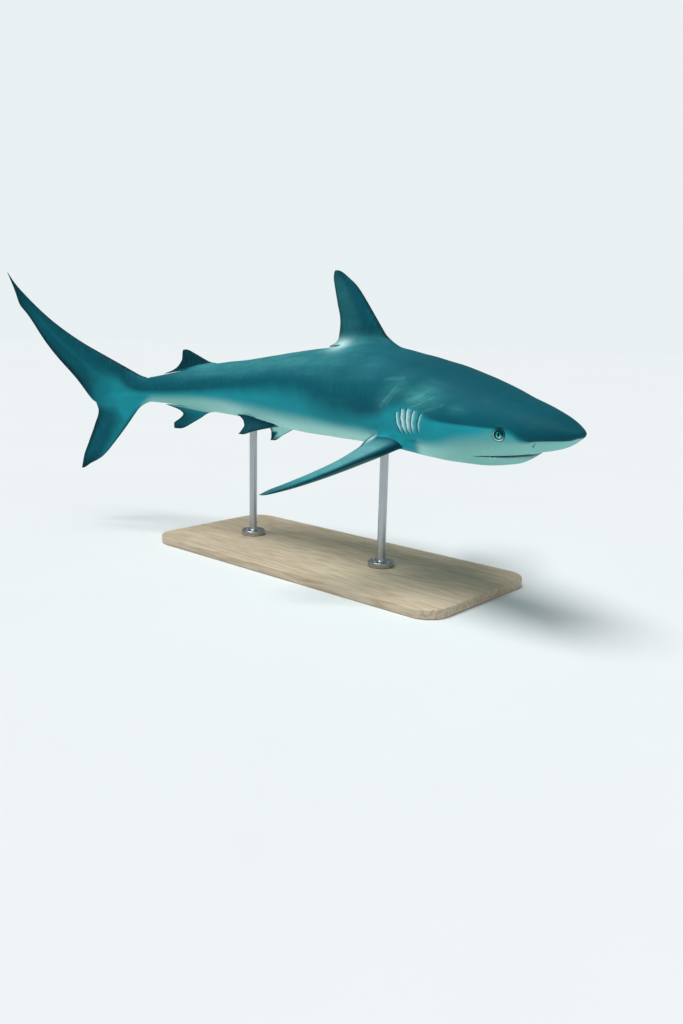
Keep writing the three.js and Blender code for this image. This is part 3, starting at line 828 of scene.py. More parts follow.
def soften(points, tree, other, reach, joins):
    """Moves the points near where two surfaces meet onto a soft corner between them.

    reach is the corner's size at each point.  joins is True for a filled corner between two joined
    shapes, and False for a rounded rim where the other shape was cut out of the first.
    """
    way = 1 if joins else -1
    moved = points.copy()
    for i in np.flatnonzero(reach > 0):
        size = reach[i]
        point = Vector(points[i])
        if other.find_nearest(point, size)[0] is None or tree.find_nearest(point, size)[0] is None:
            continue
        for _ in range(SETTLE_STEPS):
            first, first_slope = signed(tree, point)
            second, second_slope = signed(other, point)
            first, first_slope = way * first, way * first_slope
            if first > second:
                first, first_slope, second, second_slope = second, second_slope, first, first_slope
            blend = max(0.0, 1 - (second - first) / size)
            value = first - blend * blend * size / 4
            slope = first_slope.lerp(second_slope, blend / 2)
            point = point - slope * (value / max(slope.length_squared, 0.05))
        moved[i] = point
    return moved


def neighbours(mesh):
    """For each point, the mean of its neighbours can be had from these pairs and counts."""
    pairs = np.empty(len(mesh.edges) * 2, np.int32)
    mesh.edges.foreach_get("vertices", pairs)
    pairs = pairs.reshape(-1, 2)
    return pairs, np.bincount(pairs.ravel(), minlength=len(mesh.vertices))


def relax(points, pairs, counts, amount):
    """Each point drawn towards the middle of its neighbours by its own amount."""
    total = np.zeros_like(points)
    np.add.at(total, pairs[:, 0], points[pairs[:, 1]])
    np.add.at(total, pairs[:, 1], points[pairs[:, 0]])
    middle = total / np.maximum(counts, 1)[:, None]
    return points + (middle - points) * amount[:, None]


# %% Filling the fins' corners and rounding the lips
LIP_ROUND = mm(2.2)
FILLET_FADE = 0.3  # the rear share of a fin's root along which the fillet fades
FILLET_ROUNDS = 2
TOUCHED = mm(0.02)  # a point that moved further than this is smoothed too


def fillet_reach(name, points):
    """The fillet's size near one fin: full in front, and gone at the free rear tip."""
    made = FINS[name]
    front, rear = (edge + made["root_at"] for edge in made["rows"][0][1:])
    fade = FILLET_FADE * (rear - front)
    return made["fillet"] * fade_out(rear - fade, rear + 0.1, points[:, 0])


body_tree = search_tree(body)
wedge_tree = search_tree(wedge)
points = corners(skin)
pairs, counts = neighbours(skin)
for name, tree in fin_trees.items():
    for _ in range(FILLET_ROUNDS):
        reach = fillet_reach(name, points)
        settled = soften(points, body_tree, tree, reach, joins=True)
        touched = np.linalg.norm(settled - points, axis=1) > TOUCHED
        points = relax(settled, pairs, counts, 0.5 * touched)
    print("fillet", name, int(touched.sum()), "points")
in_lips = inside(points, (4.5, MOUTH["corner"], -9, -1.8))
points = soften(points, body_tree, wedge_tree, LIP_ROUND * in_lips, joins=False)
skin.vertices.foreach_set("co", points.ravel())

# %% [markdown]
# ## What the paint needs to know
#
# A shark's colours follow its form: dark above, a lighter band along the flank, pale below, dusky
# fin tips, dark slits.  Painting thousands of faces by hand would be slow, and a picture wrapped
# round the body would stretch.  Instead each point of the skin gets a few plain numbers, such as its
# height above the line where the dark back ends.  They are stored as named attributes, and the
# material reads them with Attribute nodes and turns them into paint.

# %% Places on the fins, carried over from the stacks
MOST_CORNERS = 8  # a face with more is a cap, which has no place of its own
ON_FIN = mm(2)  # points this near to a fin's stack take its shares


def carried(points, mesh, values, reach):
    """The values of the nearest face of a mesh for the points within reach, and which those are."""
    spots = [Vector(spot) for spot in corners(mesh)]
    faces = [tuple(face.vertices) for face in mesh.polygons]
    tree = search_tree(mesh)
    found = np.zeros(len(points), bool)
    result = np.zeros((len(points), values.shape[1]))
    low, high = corners(mesh).min(0) - reach, corners(mesh).max(0) + reach
    for i in np.flatnonzero(((points > low) & (points < high)).all(1)):
        where, _, face, _ = tree.find_nearest(points[i], reach)
        if where is None or len(faces[face]) > MOST_CORNERS:
            continue
        weights = poly_3d_calc([spots[k] for k in faces[face]], where)
        result[i] = np.array(weights) @ values[list(faces[face])]
        found[i] = True
    return result, found


skin.update()
normals = np.empty(len(skin.vertices) * 3)
skin.vertex_normals.foreach_get("vector", normals)
normals = normals.reshape(-1, 3)
smooth_tree = search_tree(smooth_body)
outside = np.array([signed(smooth_tree, Vector(point))[0] for point in points])

fin_up = np.zeros(len(points))
fin_back = np.zeros(len(points))
fin_weight = np.zeros(len(points))
fin_of = np.full(len(points), "", dtype="U16")
for name, made in FINS.items():
    shares, found = carried(points, fin_meshes[name], fin_shares[name], ON_FIN)
    if name == "lower_lobe":
        weight = smooth_step(0.0, 0.3, shares[:, 0]) * found
    else:
        weight = smooth_step(0.05, made["fillet"] / 2, outside) * found
    mine = weight > fin_weight
    fin_up[mine], fin_back[mine] = shares[mine].T
    fin_weight[mine] = weight[mine]
    fin_of[mine] = name
print("points on fins:", {name: int((fin_of == name).sum()) for name in FINS})

# %% Places on the tail's upper lobe
TAIL_REACH = 13  # the lower lobe's tip is this far from the upper lobe, or less
body_places = np.stack([read_floats(body, "run"), (1 - read_floats(body, "cosine")) / 2], 1)
near_tail = np.flatnonzero(points[:, 0] > STEM_END - 2)
lobe_places = np.zeros((len(points), 2))
on_lobe = np.zeros(len(points), bool)
lobe_places[near_tail], on_lobe[near_tail] = carried(points[near_tail], body, body_places, TAIL_REACH)
lobe_share = np.where(on_lobe, (lobe_places[:, 0] - 1) / LOBE_RUN, -1)
lobe_across = np.where(on_lobe, lobe_places[:, 1], 0.5)

# %% [markdown]
# Two lines run along each flank.  Above the first the back is dark, and below the second the belly
# is pale.  On the snout they lie together, so dark meets pale in one crisp edge, and on the flank
# they part and leave a band between them.  The tables hold each line's height and half the width of
# its soft edge.

# %% The lines along the flank
DARK_LINE = one_size([
    [0.3, -0.42], [0.9, -0.66], [2, -0.7], [3.3, -0.8], [4.1, -0.94], [4.8, -0.75], [5.5, -0.3],
    [6.2, 0.0], [8, 0.14], [13, 0.2], [15.6, 0.35], [18, 1.2], [20.5, 1.5], [22.5, 1.1],
    [24.5, 0.1], [29, -0.45], [33, -0.4], [37, 0.3], [41, 1.2], [45, 1.3], [49, 1.2],
    [53, 1.0], [57.5, 0.65], [62, 0.3], [66, -0.05], [70, -0.3], [73, -0.45],
])
DARK_EDGE = one_size([
    [0.3, 0.05], [3.6, 0.09], [4.6, 0.5], [6.0, 0.45], [8, 0.16], [14, 0.2], [18, 0.8], [26, 1.0],
    [30, 1.7], [34, 2.3], [40, 2.1], [46, 1.6], [52, 1.1], [60, 0.7], [66, 0.5], [73, 0.5],
])
PALE_LINE = one_size([
    [0.3, -0.3], [4, -0.8], [4.8, -0.95], [5.8, -0.85], [7.5, -0.85], [10, -1.2], [13, -1.75],
    [16.3, -2.4], [20, -2.4], [24, -2.2], [30, -2.25], [36, -2.15], [42, -2.05], [48, -1.75],
    [54, -1.1], [58, -0.7], [62, -0.65], [66, -0.8], [70, -1.0], [73, -1.2],
])
PALE_EDGE = one_size([
    [0.3, 0.05], [4, 0.09], [4.8, 0.4], [6, 0.9], [8, 1.3], [11, 1.1], [16, 0.8], [24, 0.9],
    [36, 1.2], [44, 1.5], [52, 1.2], [58, 0.8], [64, 0.65], [73, 0.7],
])

station, across, up = points.T
above_dark = (up - DARK_LINE(station)) / DARK_EDGE(station)
above_pale = (up - PALE_LINE(station)) / PALE_EDGE(station)


def put(values, where, wanted, weight):
    """Draws the values towards what is wanted at some points, by a weight."""
    values[where] += ((wanted - values) * weight)[where]


WELL_OVER = 3  # so many half edges over a line that nothing is left under it
on_pectoral = np.char.startswith(fin_of, "pectoral")
on_pelvic = np.char.startswith(fin_of, "pelvic")
facing_up = smooth_step(-0.12, 0.12, normals[:, 2])
for line in (above_dark, above_pale):
    put(line, on_pectoral | on_pelvic, WELL_OVER * (2 * facing_up - 1), fin_weight)
put(above_dark, fin_of == "anal", 1.4 * fin_up + 0.6 * fin_back - 0.5, fin_weight)
put(above_pale, fin_of == "anal", WELL_OVER, fin_weight * smooth_step(0.0, 0.15, fin_up))
# on the right, painted shade: the dark back and band run down under the gills to the pectoral's root
below_gills = np.hypot((station - 21.6) / 1.8, (up + 2.6) / 1.3)
put(above_dark, across < 0, 1.5, 0.7 * fade_out(0.3, 1.6, below_gills))
put(above_pale, across < 0, 2.5, fade_out(0.3, 2.4, below_gills))

# %% [markdown]
# The dark back isn't one tone, because light from above falls on it, and that light is painted in.
# Its upper part is paler between the dorsal fins, soft patches of painted light lie over the gills and
# shoulders, and the upper faces of the pectoral fins and parts of the first dorsal fin are painted
# lighter where the light strikes them.  All of these are one more number, the painted light, which the
# material also mottles at random.

# %% Painted light on the dark parts
# [station, height, half length, half height, strength] of soft patches of painted light on the shoulders
SHOULDER_PATCHES = [
    [17.6, 2.5, 2.6, 1.3, 0.9],
    [21.6, 3.4, 2.2, 1.6, 0.4],
    [23.4, 1.8, 1.3, 1.6, 0.35],
    [28.5, 5.2, 5.0, 1.6, 0.3],
    [12.5, 1.8, 1.8, 0.7, 0.25],
]


def soft_patch(at, height, half_length, half_height, strength):
    """A soft oval, seen side on, as a value at each point of the skin."""
    away = np.hypot((station - at) / half_length, (up - height) / half_height)
    return strength * bell(away, 1)


def strongest(*layers):
    """The highest of several values at each point."""
    return np.maximum.reduce(np.broadcast_arrays(*layers))


back_height = body_sizes(station)[0]
share_up = np.clip((up - DARK_LINE(station)) / (back_height - DARK_LINE(station)), 0, 1.3)
# painted light on the top of the back between the dorsal fins
lit_from_above = 0.6 * smooth_step(0.3, 0.85, share_up) * window(26, 38, 62, 71, station)
bare = fin_weight < 0.5
bloom = strongest(lit_from_above, *[soft_patch(*patch) * bare for patch in SHOULDER_PATCHES])
bloom *= 1 - fin_weight
broad = window(0.06, 0.2, 0.85, 1.0, fin_back)
# painted light on the upper faces of the pectoral fins, and on parts of the first dorsal fin
put(bloom, on_pectoral, broad * smooth_step(0.04, 0.2, fin_up), fin_weight)
dorsal_light = 0.3 * smooth_step(0.25, 0.6, fin_back) + 0.4 * fade_out(0.0, 0.22, fin_up)
put(bloom, fin_of == "first_dorsal", dorsal_light, fin_weight)
print("bloom: on average", round(float(bloom.mean()), 2))

# %% [markdown]
# The tail has a pattern of its own.  The belly's pale stripe dies out where the lobes begin, the
# upper lobe has a lighter streak behind its dark front edge, and the lower lobe is light in front and
# dark behind.  The streak has no dark rear edge where the two lobes are joined.

# %% The pattern of the tail
FORK_SHARE = 0.43  # how far along the upper lobe the fork is
STREAK_MIDDLE, STREAK_HALF_WIDTH = 0.6, 0.25  # as shares of the lobe, from its front edge
above_pale += 5 * smooth_step(71, 77, station)
past_fork = smooth_step(FORK_SHARE - 0.08, FORK_SHARE + 0.06, lobe_share)
off_streak = (lobe_across - STREAK_MIDDLE) / STREAK_HALF_WIDTH
off_streak = np.where(off_streak > 0, off_streak * past_fork, -off_streak)
on_upper = smooth_step(0, 0.2, lobe_share)
upper_dark = off_streak - 0.9 + 1.4 * smooth_step(0, 0.5, lobe_share)
put(above_dark, lobe_share > 0, upper_dark, on_upper)
on_lower = fin_of == "lower_lobe"
put(above_dark, on_lower, 3.4 * fin_back - 1.3 + 1.4 * fin_up, fin_weight)
put(above_pale, on_lower, WELL_OVER, smooth_step(-0.01, 0.09, fin_up))
print("points on the upper lobe:", int((lobe_share > 0).sum()))

# %% [markdown]
# Every fin is darkest along its edges, and how much differs from fin to fin, so a table holds it.
# The same number also darkens the snout, and carries painted shade on the top of the head, at the
# roots of the pectoral fins and at the foot of the first dorsal fin.  Where several of these meet, the
# highest value is kept.

# %% Dusky edges of the fins, and painted shade at the first dorsal fin's foot
# how dark the tip, the rear edge and the front edge are
DUSKY = {
    "first_dorsal": (0.5, 0.5, 0.9),
    "second_dorsal": (1.0, 1.0, 1.0),
    "anal": (0.7, 0.7, 0.4),
    "pectoral_right": (0.6, 0.6, 0.9),
    "pectoral_left": (0.6, 0.6, 0.9),
    "pelvic_right": (0.9, 0.9, 0.9),
    "pelvic_left": (0.9, 0.9, 0.8),
    "lower_lobe": (0.9, 0.9, 0.8),
}
# how dark the whole fin is, at the least
DUSKY_ALL_OVER = {"second_dorsal": 0.75, "pelvic_right": 0.65, "first_dorsal": 0.15}
near_tip = smooth_step(0.7, 1.0, fin_up)
near_rear = smooth_step(0.8, 1.0, fin_back)
near_front = fade_out(0.0, 0.1, fin_back)
dusk = np.zeros(len(points))
for name, (tip, rear, front) in DUSKY.items():
    here = fin_of == name
    least = DUSKY_ALL_OVER.get(name, 0)
    dusk[here] = strongest(tip * near_tip, rear * near_rear, front * near_front, least)[here]
# painted shade at the front of the first dorsal fin's foot
dorsal_foot_shade = 0.35 * bell(fin_up - 0.18, 0.12) * fade_out(0.5, 0.8, fin_back)
dusk = strongest(dusk, dorsal_foot_shade * (fin_of == "first_dorsal")) * fin_weight

# %% Dusk on the tail, a darker snout, and painted shade on the head and the pectoral roots
lobe_dusk = strongest(
    0.95 * fade_out(0.02, 0.1, lobe_across),
    0.5 * fade_out(0.0, 0.45, lobe_across),
    0.9 * smooth_step(0.8, 1.0, lobe_across) * past_fork,
    0.8 * smooth_step(0.75, 1.0, lobe_share),
)
# painted shade at the pectoral fins' roots and on the top of the head; the snout is made darker
pectoral_root_shade = on_pectoral * fade_out(0.0, 0.14, fin_up) * smooth_step(-0.2, 0.2, normals[:, 2])
snout = fade_out(1, 9, station) * smooth_step(-0.5, 1, above_dark)
head_top_shade = smooth_step(0.5, 1.0, share_up) * fade_out(20, 28, station) * (1 - fin_weight)
dusk = strongest(
    dusk,
    lobe_dusk * on_upper * (1 - fin_weight * on_lower),
    0.4 * pectoral_root_shade,
    0.35 * snout,
    0.2 * head_top_shade,
)
print("dusky points:", int((dusk > 0.5).sum()))

# %% [markdown]
# Folds show because their edges catch the light and their depths don't, and that light and shade is
# painted in as well, with a painted highlight along each gill flap's free edge.  Two more numbers hold
# this: one for painted highlight, where the paint is pale, and one for painted shade, where it is
# dark.  Both come from the same distances as the relief, so they fit it.

# %% Painted highlights on the gill flaps, and painted shade in the slits and hollows
in_gills = inside(points, (15.5, 22, -2.5, 2.5))
rim = np.zeros(len(points))
slits = np.zeros(len(points))
for slit in SLITS:
    share, behind = from_slit(points, slit)
    reach = in_gills * np.clip(1 - share**2, 0, 1) ** 0.3
    flap = np.minimum(1.7 * np.exp(np.minimum(behind, 0) / (0.7 * slit[4])), 1)
    flap *= fade_out(0.0, 0.7, behind) * smooth_step(-1.05, -0.3, share)
    rim = strongest(rim, reach * flap)
    slits = strongest(slits, 0.75 * reach * window(0.1, 0.9, 3.8, 6.2, behind))
# painted shade where the skin sinks in near the head, as in the socket, nostril and mouth, and in the slits
hollow = strongest(
    smooth_step(mm(1.0), mm(3.2), -outside) * (station < 22) * (1 - in_gills),
    slits,
)

# %% The eyelid's ring: a painted highlight on its lit side, and painted shadow
PALEST_SIDE = -55  # of the ring, in degrees: 0 is aft and 90 is up
away, direction = from_eye(points)
lit = np.clip(0.55 + 0.75 * np.cos(np.radians(direction - PALEST_SIDE)), 0, 1)
rim = strongest(rim, lit * window(10.0, 10.9, 11.7, 12.7, away))
# painted shade: a line outside the lid, one at the opening, and the lid's unlit side
lid_lines = 0.7 * bell(away - 13.4, 0.8) + 0.9 * bell(away - EYE["opening"], 0.9)
lid_lines += 0.85 * (1 - lit) * window(8.5, 9.5, 12.4, 13.6, away)
hollow = strongest(hollow, np.clip(lid_lines, 0, 1))

# %% The painted shadow under the lip, and small painted highlights and shadows
# a painted highlight behind the first dorsal fin
HIGHLIGHT_BEHIND_DORSAL = [37.2, 7.6, 2.0, 0.7, 0.8]  # a pale patch, as in SHOULDER_PATCHES
# painted shadows: over the brow, in the fold under the gills, and under the first dorsal fin's free tip
PAINTED_SHADOWS = [
    [7.3, 0.325, 0.9, 0.07, 0.5],
    [18.4, -2.3, 1.2, 0.18, 0.4],
    [38.5, 7.26, 0.5, 0.1, 1.0],
]
# painted highlights at the pectoral fins' rear roots and on their inner halves
rear_root = bell(fin_up - 0.05, 0.08) * bell(fin_back - 0.82, 0.1) * (normals[:, 2] > 0)
inner_half = window(0.05, 0.2, 0.3, 0.75, fin_up)
rim = strongest(
    rim,
    soft_patch(*HIGHLIGHT_BEHIND_DORSAL),
    0.8 * on_pectoral * rear_root,
    0.1 * on_pectoral * broad * inner_half * facing_up,
)
below_mouth = -above_mouth(points)
share = np.clip((station - MOUTH["front"]) / (MOUTH["corner"] - MOUTH["front"]), 0, 1)
below_lip = below_mouth - MOUTH["open"] / 2 / mm(1) * (1 - share)
lip_shade = 0.8 * fade_out(0.4, 3.0, below_lip) * (below_mouth > 0) * (up < -1.5)
lip_shade *= window(5.0, 5.6, 7.5, 9.8, station)
hollow = strongest(hollow, lip_shade, *[soft_patch(*mark) for mark in PAINTED_SHADOWS])
print("hollow points:", int((hollow > 0.5).sum()), " rim points:", int((rim > 0.5).sum()))

# %% [markdown]
# ## Bending the shark into its turn
#
# Now the straight shark is bent into its pose.  The head and gills are stiff.  Behind them the spine
# turns further with every step, more and more towards the tail, and the whole animal leans a little
# into the turn.  Adding up small steps along the changing heading gives the spine as a path, and
# every point keeps its distance to the side of that path.

# %% The pose
SNOUT = Vector((0.769, -0.119, 0.430))
HEAD_TURN = 12.4  # degrees, the head's axis against the model's X
BEND = 59  # degrees, how far the tail's end has turned from the head
STIFF_LENGTH = 17.7  # hundredths: head and gills don't bend
BEND_POWER = 1.25  # above 1, the bend grows towards the tail
BANK = math.radians(2.5)  # the back leans to the inside of the turn
SPINE_STEPS = 2000


def heading_at(station):
    share = np.clip((station - STIFF_LENGTH) / (100 - STIFF_LENGTH), 0, None)
    return np.radians(HEAD_TURN - BEND * share**BEND_POWER)


spine_stations = np.linspace(0, 100, SPINE_STEPS + 1)
spine_step = TOTAL_LENGTH / SPINE_STEPS
middles = (spine_stations[1:] + spine_stations[:-1]) / 2
spine_x = SNOUT.x - spine_step * np.concatenate([[0], np.cumsum(np.cos(heading_at(middles)))])
spine_y = SNOUT.y + spine_step * np.concatenate([[0], np.cumsum(np.sin(heading_at(middles)))])


def posed(points):
    """From the straight shark, in hundredths, to its place over the stand, in metres."""
    station, across, up = np.asarray(points, float).T
    heading = heading_at(station)
    aside = (across * math.cos(BANK) - up * math.sin(BANK)) * UNIT
    high = (up * math.cos(BANK) + across * math.sin(BANK)) * UNIT
    x = np.interp(station, spine_stations, spine_x) + aside * np.sin(heading)
    y = np.interp(station, spine_stations, spine_y) + aside * np.cos(heading)
    return np.stack([x, y, SNOUT.z + high], 1)


def finished(name, mesh, *materials):
    """Puts a finished mesh into the scene as a smooth-shaded piece of the model."""
    mesh.name = name
    piece = in_scene(name, mesh)
    mesh.materials.clear()
    for material in materials:
        mesh.materials.append(material)
    mesh.shade_smooth()
    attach(piece, "root")
    return piece


def set_attribute(mesh, name, values):
    kind = "FLOAT" if values.ndim == 1 else "FLOAT_VECTOR"
    field = "value" if values.ndim == 1 else "vector"
    made = mesh.attributes.new(name, kind, "POINT")
    made.data.foreach_set(field, np.ascontiguousarray(values, np.float32).ravel())


# %% The skin in its pose, with its numbers
FURTHEST = 6  # half edges from a line, past which nothing changes
plain_skin = mesh_from("shark_skin", posed(points), [tuple(f.vertices) for f in skin.polygons])
set_attribute(plain_skin, "straight", points)
numbers = dict(above_dark=above_dark, above_pale=above_pale, dusk=dusk, bloom=bloom, rim=rim, hollow=hollow)
for name, values in numbers.items():
    set_attribute(plain_skin, name, np.clip(values, -FURTHEST, FURTHEST))
outward(plain_skin)
print("skin:", sum(len(face.vertices) - 2 for face in plain_skin.polygons), "triangles")

# %% [markdown]
# ## Small helpers for the materials
#
# A material is a graph of nodes, and typing out each node and link hides the idea behind it.  The
# helpers below add one node and give back its output, so that a recipe reads like a sum.  Colours
# are written from 0 to 255, and turned into the linear numbers that a shader works with.

# %% One node at a time


def paint(red, green, blue):
    """A colour from 0 to 255 in linear light."""
    shares = [value / 255 for value in (red, green, blue)]
    return (*[s / 12.92 if s <= 0.04045 else ((s + 0.055) / 1.055) ** 2.4 for s in shares], 1.0)


def add(tree, kind, inputs=None, **settings):
    """A new node.  An input may be a plain value or another node's output."""
    made = tree.nodes.new(kind)
    for name, value in settings.items():
        setattr(made, name, value)
    for socket, value in (inputs or {}).items():
        if isinstance(value, bpy.types.NodeSocket):
            tree.links.new(value, made.inputs[socket])
        else:
            made.inputs[socket].default_value = value
    return made


def calc(tree, operation, *values):
    """A sum, a difference or the like of plain values and outputs."""
    return add(tree, "ShaderNodeMath", dict(enumerate(values)), operation=operation).outputs[0]


def rise(tree, low, high, value):
    """smooth_step as a node."""
    inputs = {"Value": value, "From Min": low, "From Max": high}
    made = add(tree, "ShaderNodeMapRange", inputs, interpolation_type="SMOOTHSTEP")
    return made.outputs[0]


def product(tree, *values):
    """All the values multiplied together."""
    result = values[0]
    for value in values[1:]:
        result = calc(tree, "MULTIPLY", result, value)
    return result


def mix(tree, share, first, second):
    """The first colour, covered by a share of the second."""
    inputs = {0: share, 6: first, 7: second}
    return add(tree, "ShaderNodeMix", inputs, data_type="RGBA").outputs[2]


def noise(tree, place, scale, detail=2.0, rough=0.5):
    inputs = {"Vector": place, "Scale": scale, "Detail": detail, "Roughness": rough}
    return add(tree, "ShaderNodeTexNoise", inputs).outputs[0]


def stretched(tree, place, scale, turn=(0, 0, 0)):
    inputs = {"Vector": place, "Scale": scale, "Rotation": turn}
    return add(tree, "ShaderNodeMapping", inputs).outputs[0]


def object_place(tree):
    return add(tree, "ShaderNodeTexCoord").outputs["Object"]


def stored(tree, name, output="Fac"):
    return add(tree, "ShaderNodeAttribute", attribute_name=name).outputs[output]


def new_material(name, **constants):
    """A material whose shader has its constant values set, with its tree and its shader."""
    material = bpy.data.materials.new(name)
    material.use_nodes = True
    shader = material.node_tree.nodes["Principled BSDF"]
    for socket, value in constants.items():
        shader.inputs[socket.replace("_", " ")].default_value = value
    return material, material.node_tree, shader


def finish_surface(tree, shader, colour, roughness, height, depth):
    """Links colour, roughness and a bump whose full height is depth, in metres."""
    bump = add(tree, "ShaderNodeBump", {"Height": height, "Distance": depth, "Strength": 1.0})
    tree.links.new(colour, shader.inputs["Base Color"])
    tree.links.new(roughness, shader.inputs["Roughness"])
    tree.links.new(bump.outputs[0], shader.inputs["Normal"])


# %% [markdown]
# Nothing that lived or grew has one flat colour, and nothing is quite smooth.  Two small groups
# carry that into every material here: one makes a colour cloudy, and one gives a fine unevenness
# that turns into both relief and a change of gloss.  A group is built once and placed with its own
# values, so a better recipe improves skin, gums, teeth, wood and steel together.

# %% The two groups that the materials share


def new_group(name, inputs, outputs, kind="ShaderNodeTree"):
    """A tree with named sockets: the tree, what is given to it and where its results go."""
    tree = bpy.data.node_groups.new(name, kind)
    for socket, (holds, *value) in inputs.items():
        made = tree.interface.new_socket(socket, in_out="INPUT", socket_type="NodeSocket" + holds)
        if value:
            made.default_value = value[0]
    for socket, holds in outputs.items():
        tree.interface.new_socket(socket, in_out="OUTPUT", socket_type="NodeSocket" + holds)
    return tree, add(tree, "NodeGroupInput").outputs, add(tree, "NodeGroupOutput").inputs


def cloudy_group():
    """Colour made lighter and darker in clouds of two sizes."""
    inputs = {
        "Place": ["Vector"], "Colour": ["Color"], "Scale": ["Float", 1.0], "Amount": ["Float", 0.1]
    }
    tree, given, result = new_group("cloudy", inputs, {"Colour": "Color"})
    large = noise(tree, given["Place"], given["Scale"], detail=3.0)
    fine_scale = product(tree, given["Scale"], 7.0)
    fine = noise(tree, given["Place"], fine_scale, detail=3.0)
    both = calc(tree, "ADD", large, product(tree, fine, 0.5))
    centred = calc(tree, "SUBTRACT", both, 0.75)
    factor = calc(tree, "MULTIPLY_ADD", centred, product(tree, given["Amount"], 4.0), 1.0)
    inputs = {0: given["Colour"], "Scale": factor}
    scaled = add(tree, "ShaderNodeVectorMath", inputs, operation="SCALE")
    tree.links.new(scaled.outputs[0], result["Colour"])
    return tree


def uneven_group():
    """A fine unevenness, as a height from 0 to 1 and as a roughness round a middle value."""
    inputs = {
        "Place": ["Vector"], "Scale": ["Float", 10.0],
        "Roughness": ["Float", 0.5], "Spread": ["Float", 0.1],
    }
    tree, given, result = new_group("uneven", inputs, {"Height": "Float", "Roughness": "Float"})
    height = noise(tree, given["Place"], given["Scale"], detail=4.0, rough=0.6)
    centred = calc(tree, "SUBTRACT", height, 0.5)
    spread = product(tree, given["Spread"], 2.0)
    tree.links.new(height, result["Height"])
    rough = calc(tree, "MULTIPLY_ADD", centred, spread, given["Roughness"])
    tree.links.new(rough, result["Roughness"])
    return tree


CLOUDY = cloudy_group()
UNEVEN = uneven_group()


def cloudy(tree, place, colour, scale, amount):
    inputs = {"Place": place, "Colour": colour, "Scale": scale, "Amount": amount}
    return add(tree, "ShaderNodeGroup", inputs, node_tree=CLOUDY).outputs["Colour"]


def uneven(tree, place, scale, roughness, spread):
    """The height and the roughness outputs."""
    inputs = {"Place": place, "Scale": scale, "Roughness": roughness, "Spread": spread}
    made = add(tree, "ShaderNodeGroup", inputs, node_tree=UNEVEN)
    return made.outputs["Height"], made.outputs["Roughness"]


def even_material(name, colour, clouds, grain, depth, **constants):
    """A finish with no pattern: one cloudy colour (scale, amount), and an unevenness.

    grain holds its scale, the roughness and its spread, and depth is the relief's, in metres.
    """
    material, tree, shader = new_material(name, **constants)
    place = object_place(tree)
    height, roughness = uneven(tree, place, *grain)
    finish_surface(tree, shader, cloudy(tree, place, colour, *clouds), roughness, height, depth)
    return material


# %% [markdown]
# ## The skin's paint
#
# The colours are those of the animal in clear shallow water: a blue-green grey back, a lighter band
# along the flank, painted darker as it looks in shade, and a pale belly.  The material turns the stored
# numbers into paint in layers, the way a model painter does: belly first, then the band, then the back
# with a slightly wavering edge, then the dusky fin edges and painted shade, the painted highlights and
# at last the painted shade in the hollows.

# %% Colours of the skin
BACK = paint(16, 90, 104)
# the back where light falls on it, painted lighter, and also its random mottling
BACK_LIT_AND_MOTTLED = paint(68, 148, 153)
# the pale flank band, painted darker as it looks in shade
SHADED_BAND = paint(34, 155, 169)
BELLY = paint(176, 236, 234)
# the belly as in shade, painted on the jaw and also on the belly towards the tail
SHADED_BELLY = paint(134, 196, 190)
# dusky fin edges, painted shade, and dark specks
DUSK_AND_SHADE = paint(8, 44, 55)
# painted highlights, and the pale halo of the scar
HIGHLIGHT_AND_HALO = paint(214, 255, 255)
# painted shade in slits, creases and hollows
SHADE_PAINT = paint(0, 58, 70)
WORN = paint(116, 200, 200)
SCAR = paint(96, 62, 58)


def wavering(tree, name, place, scale, amount):
    """A stored height over a line, with a little noise so that the line isn't ruled."""
    wave = calc(tree, "SUBTRACT", noise(tree, place, scale, detail=3.0), 0.5)
    return calc(tree, "MULTIPLY_ADD", wave, amount, stored(tree, name))


def station_of(tree, place):
    return add(tree, "ShaderNodeSeparateXYZ", {0: place}).outputs[0]


def skin_colour(tree, place):
    """Belly, band and back in three layers, then the dusk."""
    over_belly = rise(tree, -1, 1, wavering(tree, "above_pale", place, scale=0.5, amount=0.4))
    over_band = rise(tree, -1, 1, wavering(tree, "above_dark", place, scale=0.6, amount=0.4))
    lengthwise = stretched(tree, place, scale=(0.25, 1.0, 1.0))
    patches = noise(tree, lengthwise, scale=0.9, detail=4.0, rough=0.55)
    mottled = calc(tree, "MULTIPLY_ADD", rise(tree, 0.3, 0.7, patches), 0.5, 0.7)
    bloom = product(tree, mottled, stored(tree, "bloom"))
    bloom = calc(tree, "MULTIPLY_ADD", rise(tree, 0.55, 0.8, patches), 0.12, bloom)
    along = station_of(tree, place)
    # the belly's painted shade on the jaw and towards the tail, with the palest belly between
    palest = product(tree, rise(tree, 11, 22, along), rise(tree, 68, 48, along))
    colour = mix(tree, over_belly, mix(tree, palest, SHADED_BELLY, BELLY), SHADED_BAND)
    colour = mix(tree, over_band, colour, mix(tree, bloom, BACK, BACK_LIT_AND_MOTTLED))
    colour = mix(tree, stored(tree, "dusk"), colour, DUSK_AND_SHADE)
    return cloudy(tree, place, colour, scale=0.5, amount=0.05)


# %% [markdown]
# Living skin also has marks: faint slanting lines over the muscle blocks of the flank, a few dark
# specks, pale healed scratches on the right shoulder, and a small wound on the jaw.  The scratches
# differ only in their place, length and bow, so one node group draws any of them, set by a table.

# %% Striations and freckles
STRIATION_SLANT = math.radians(38)


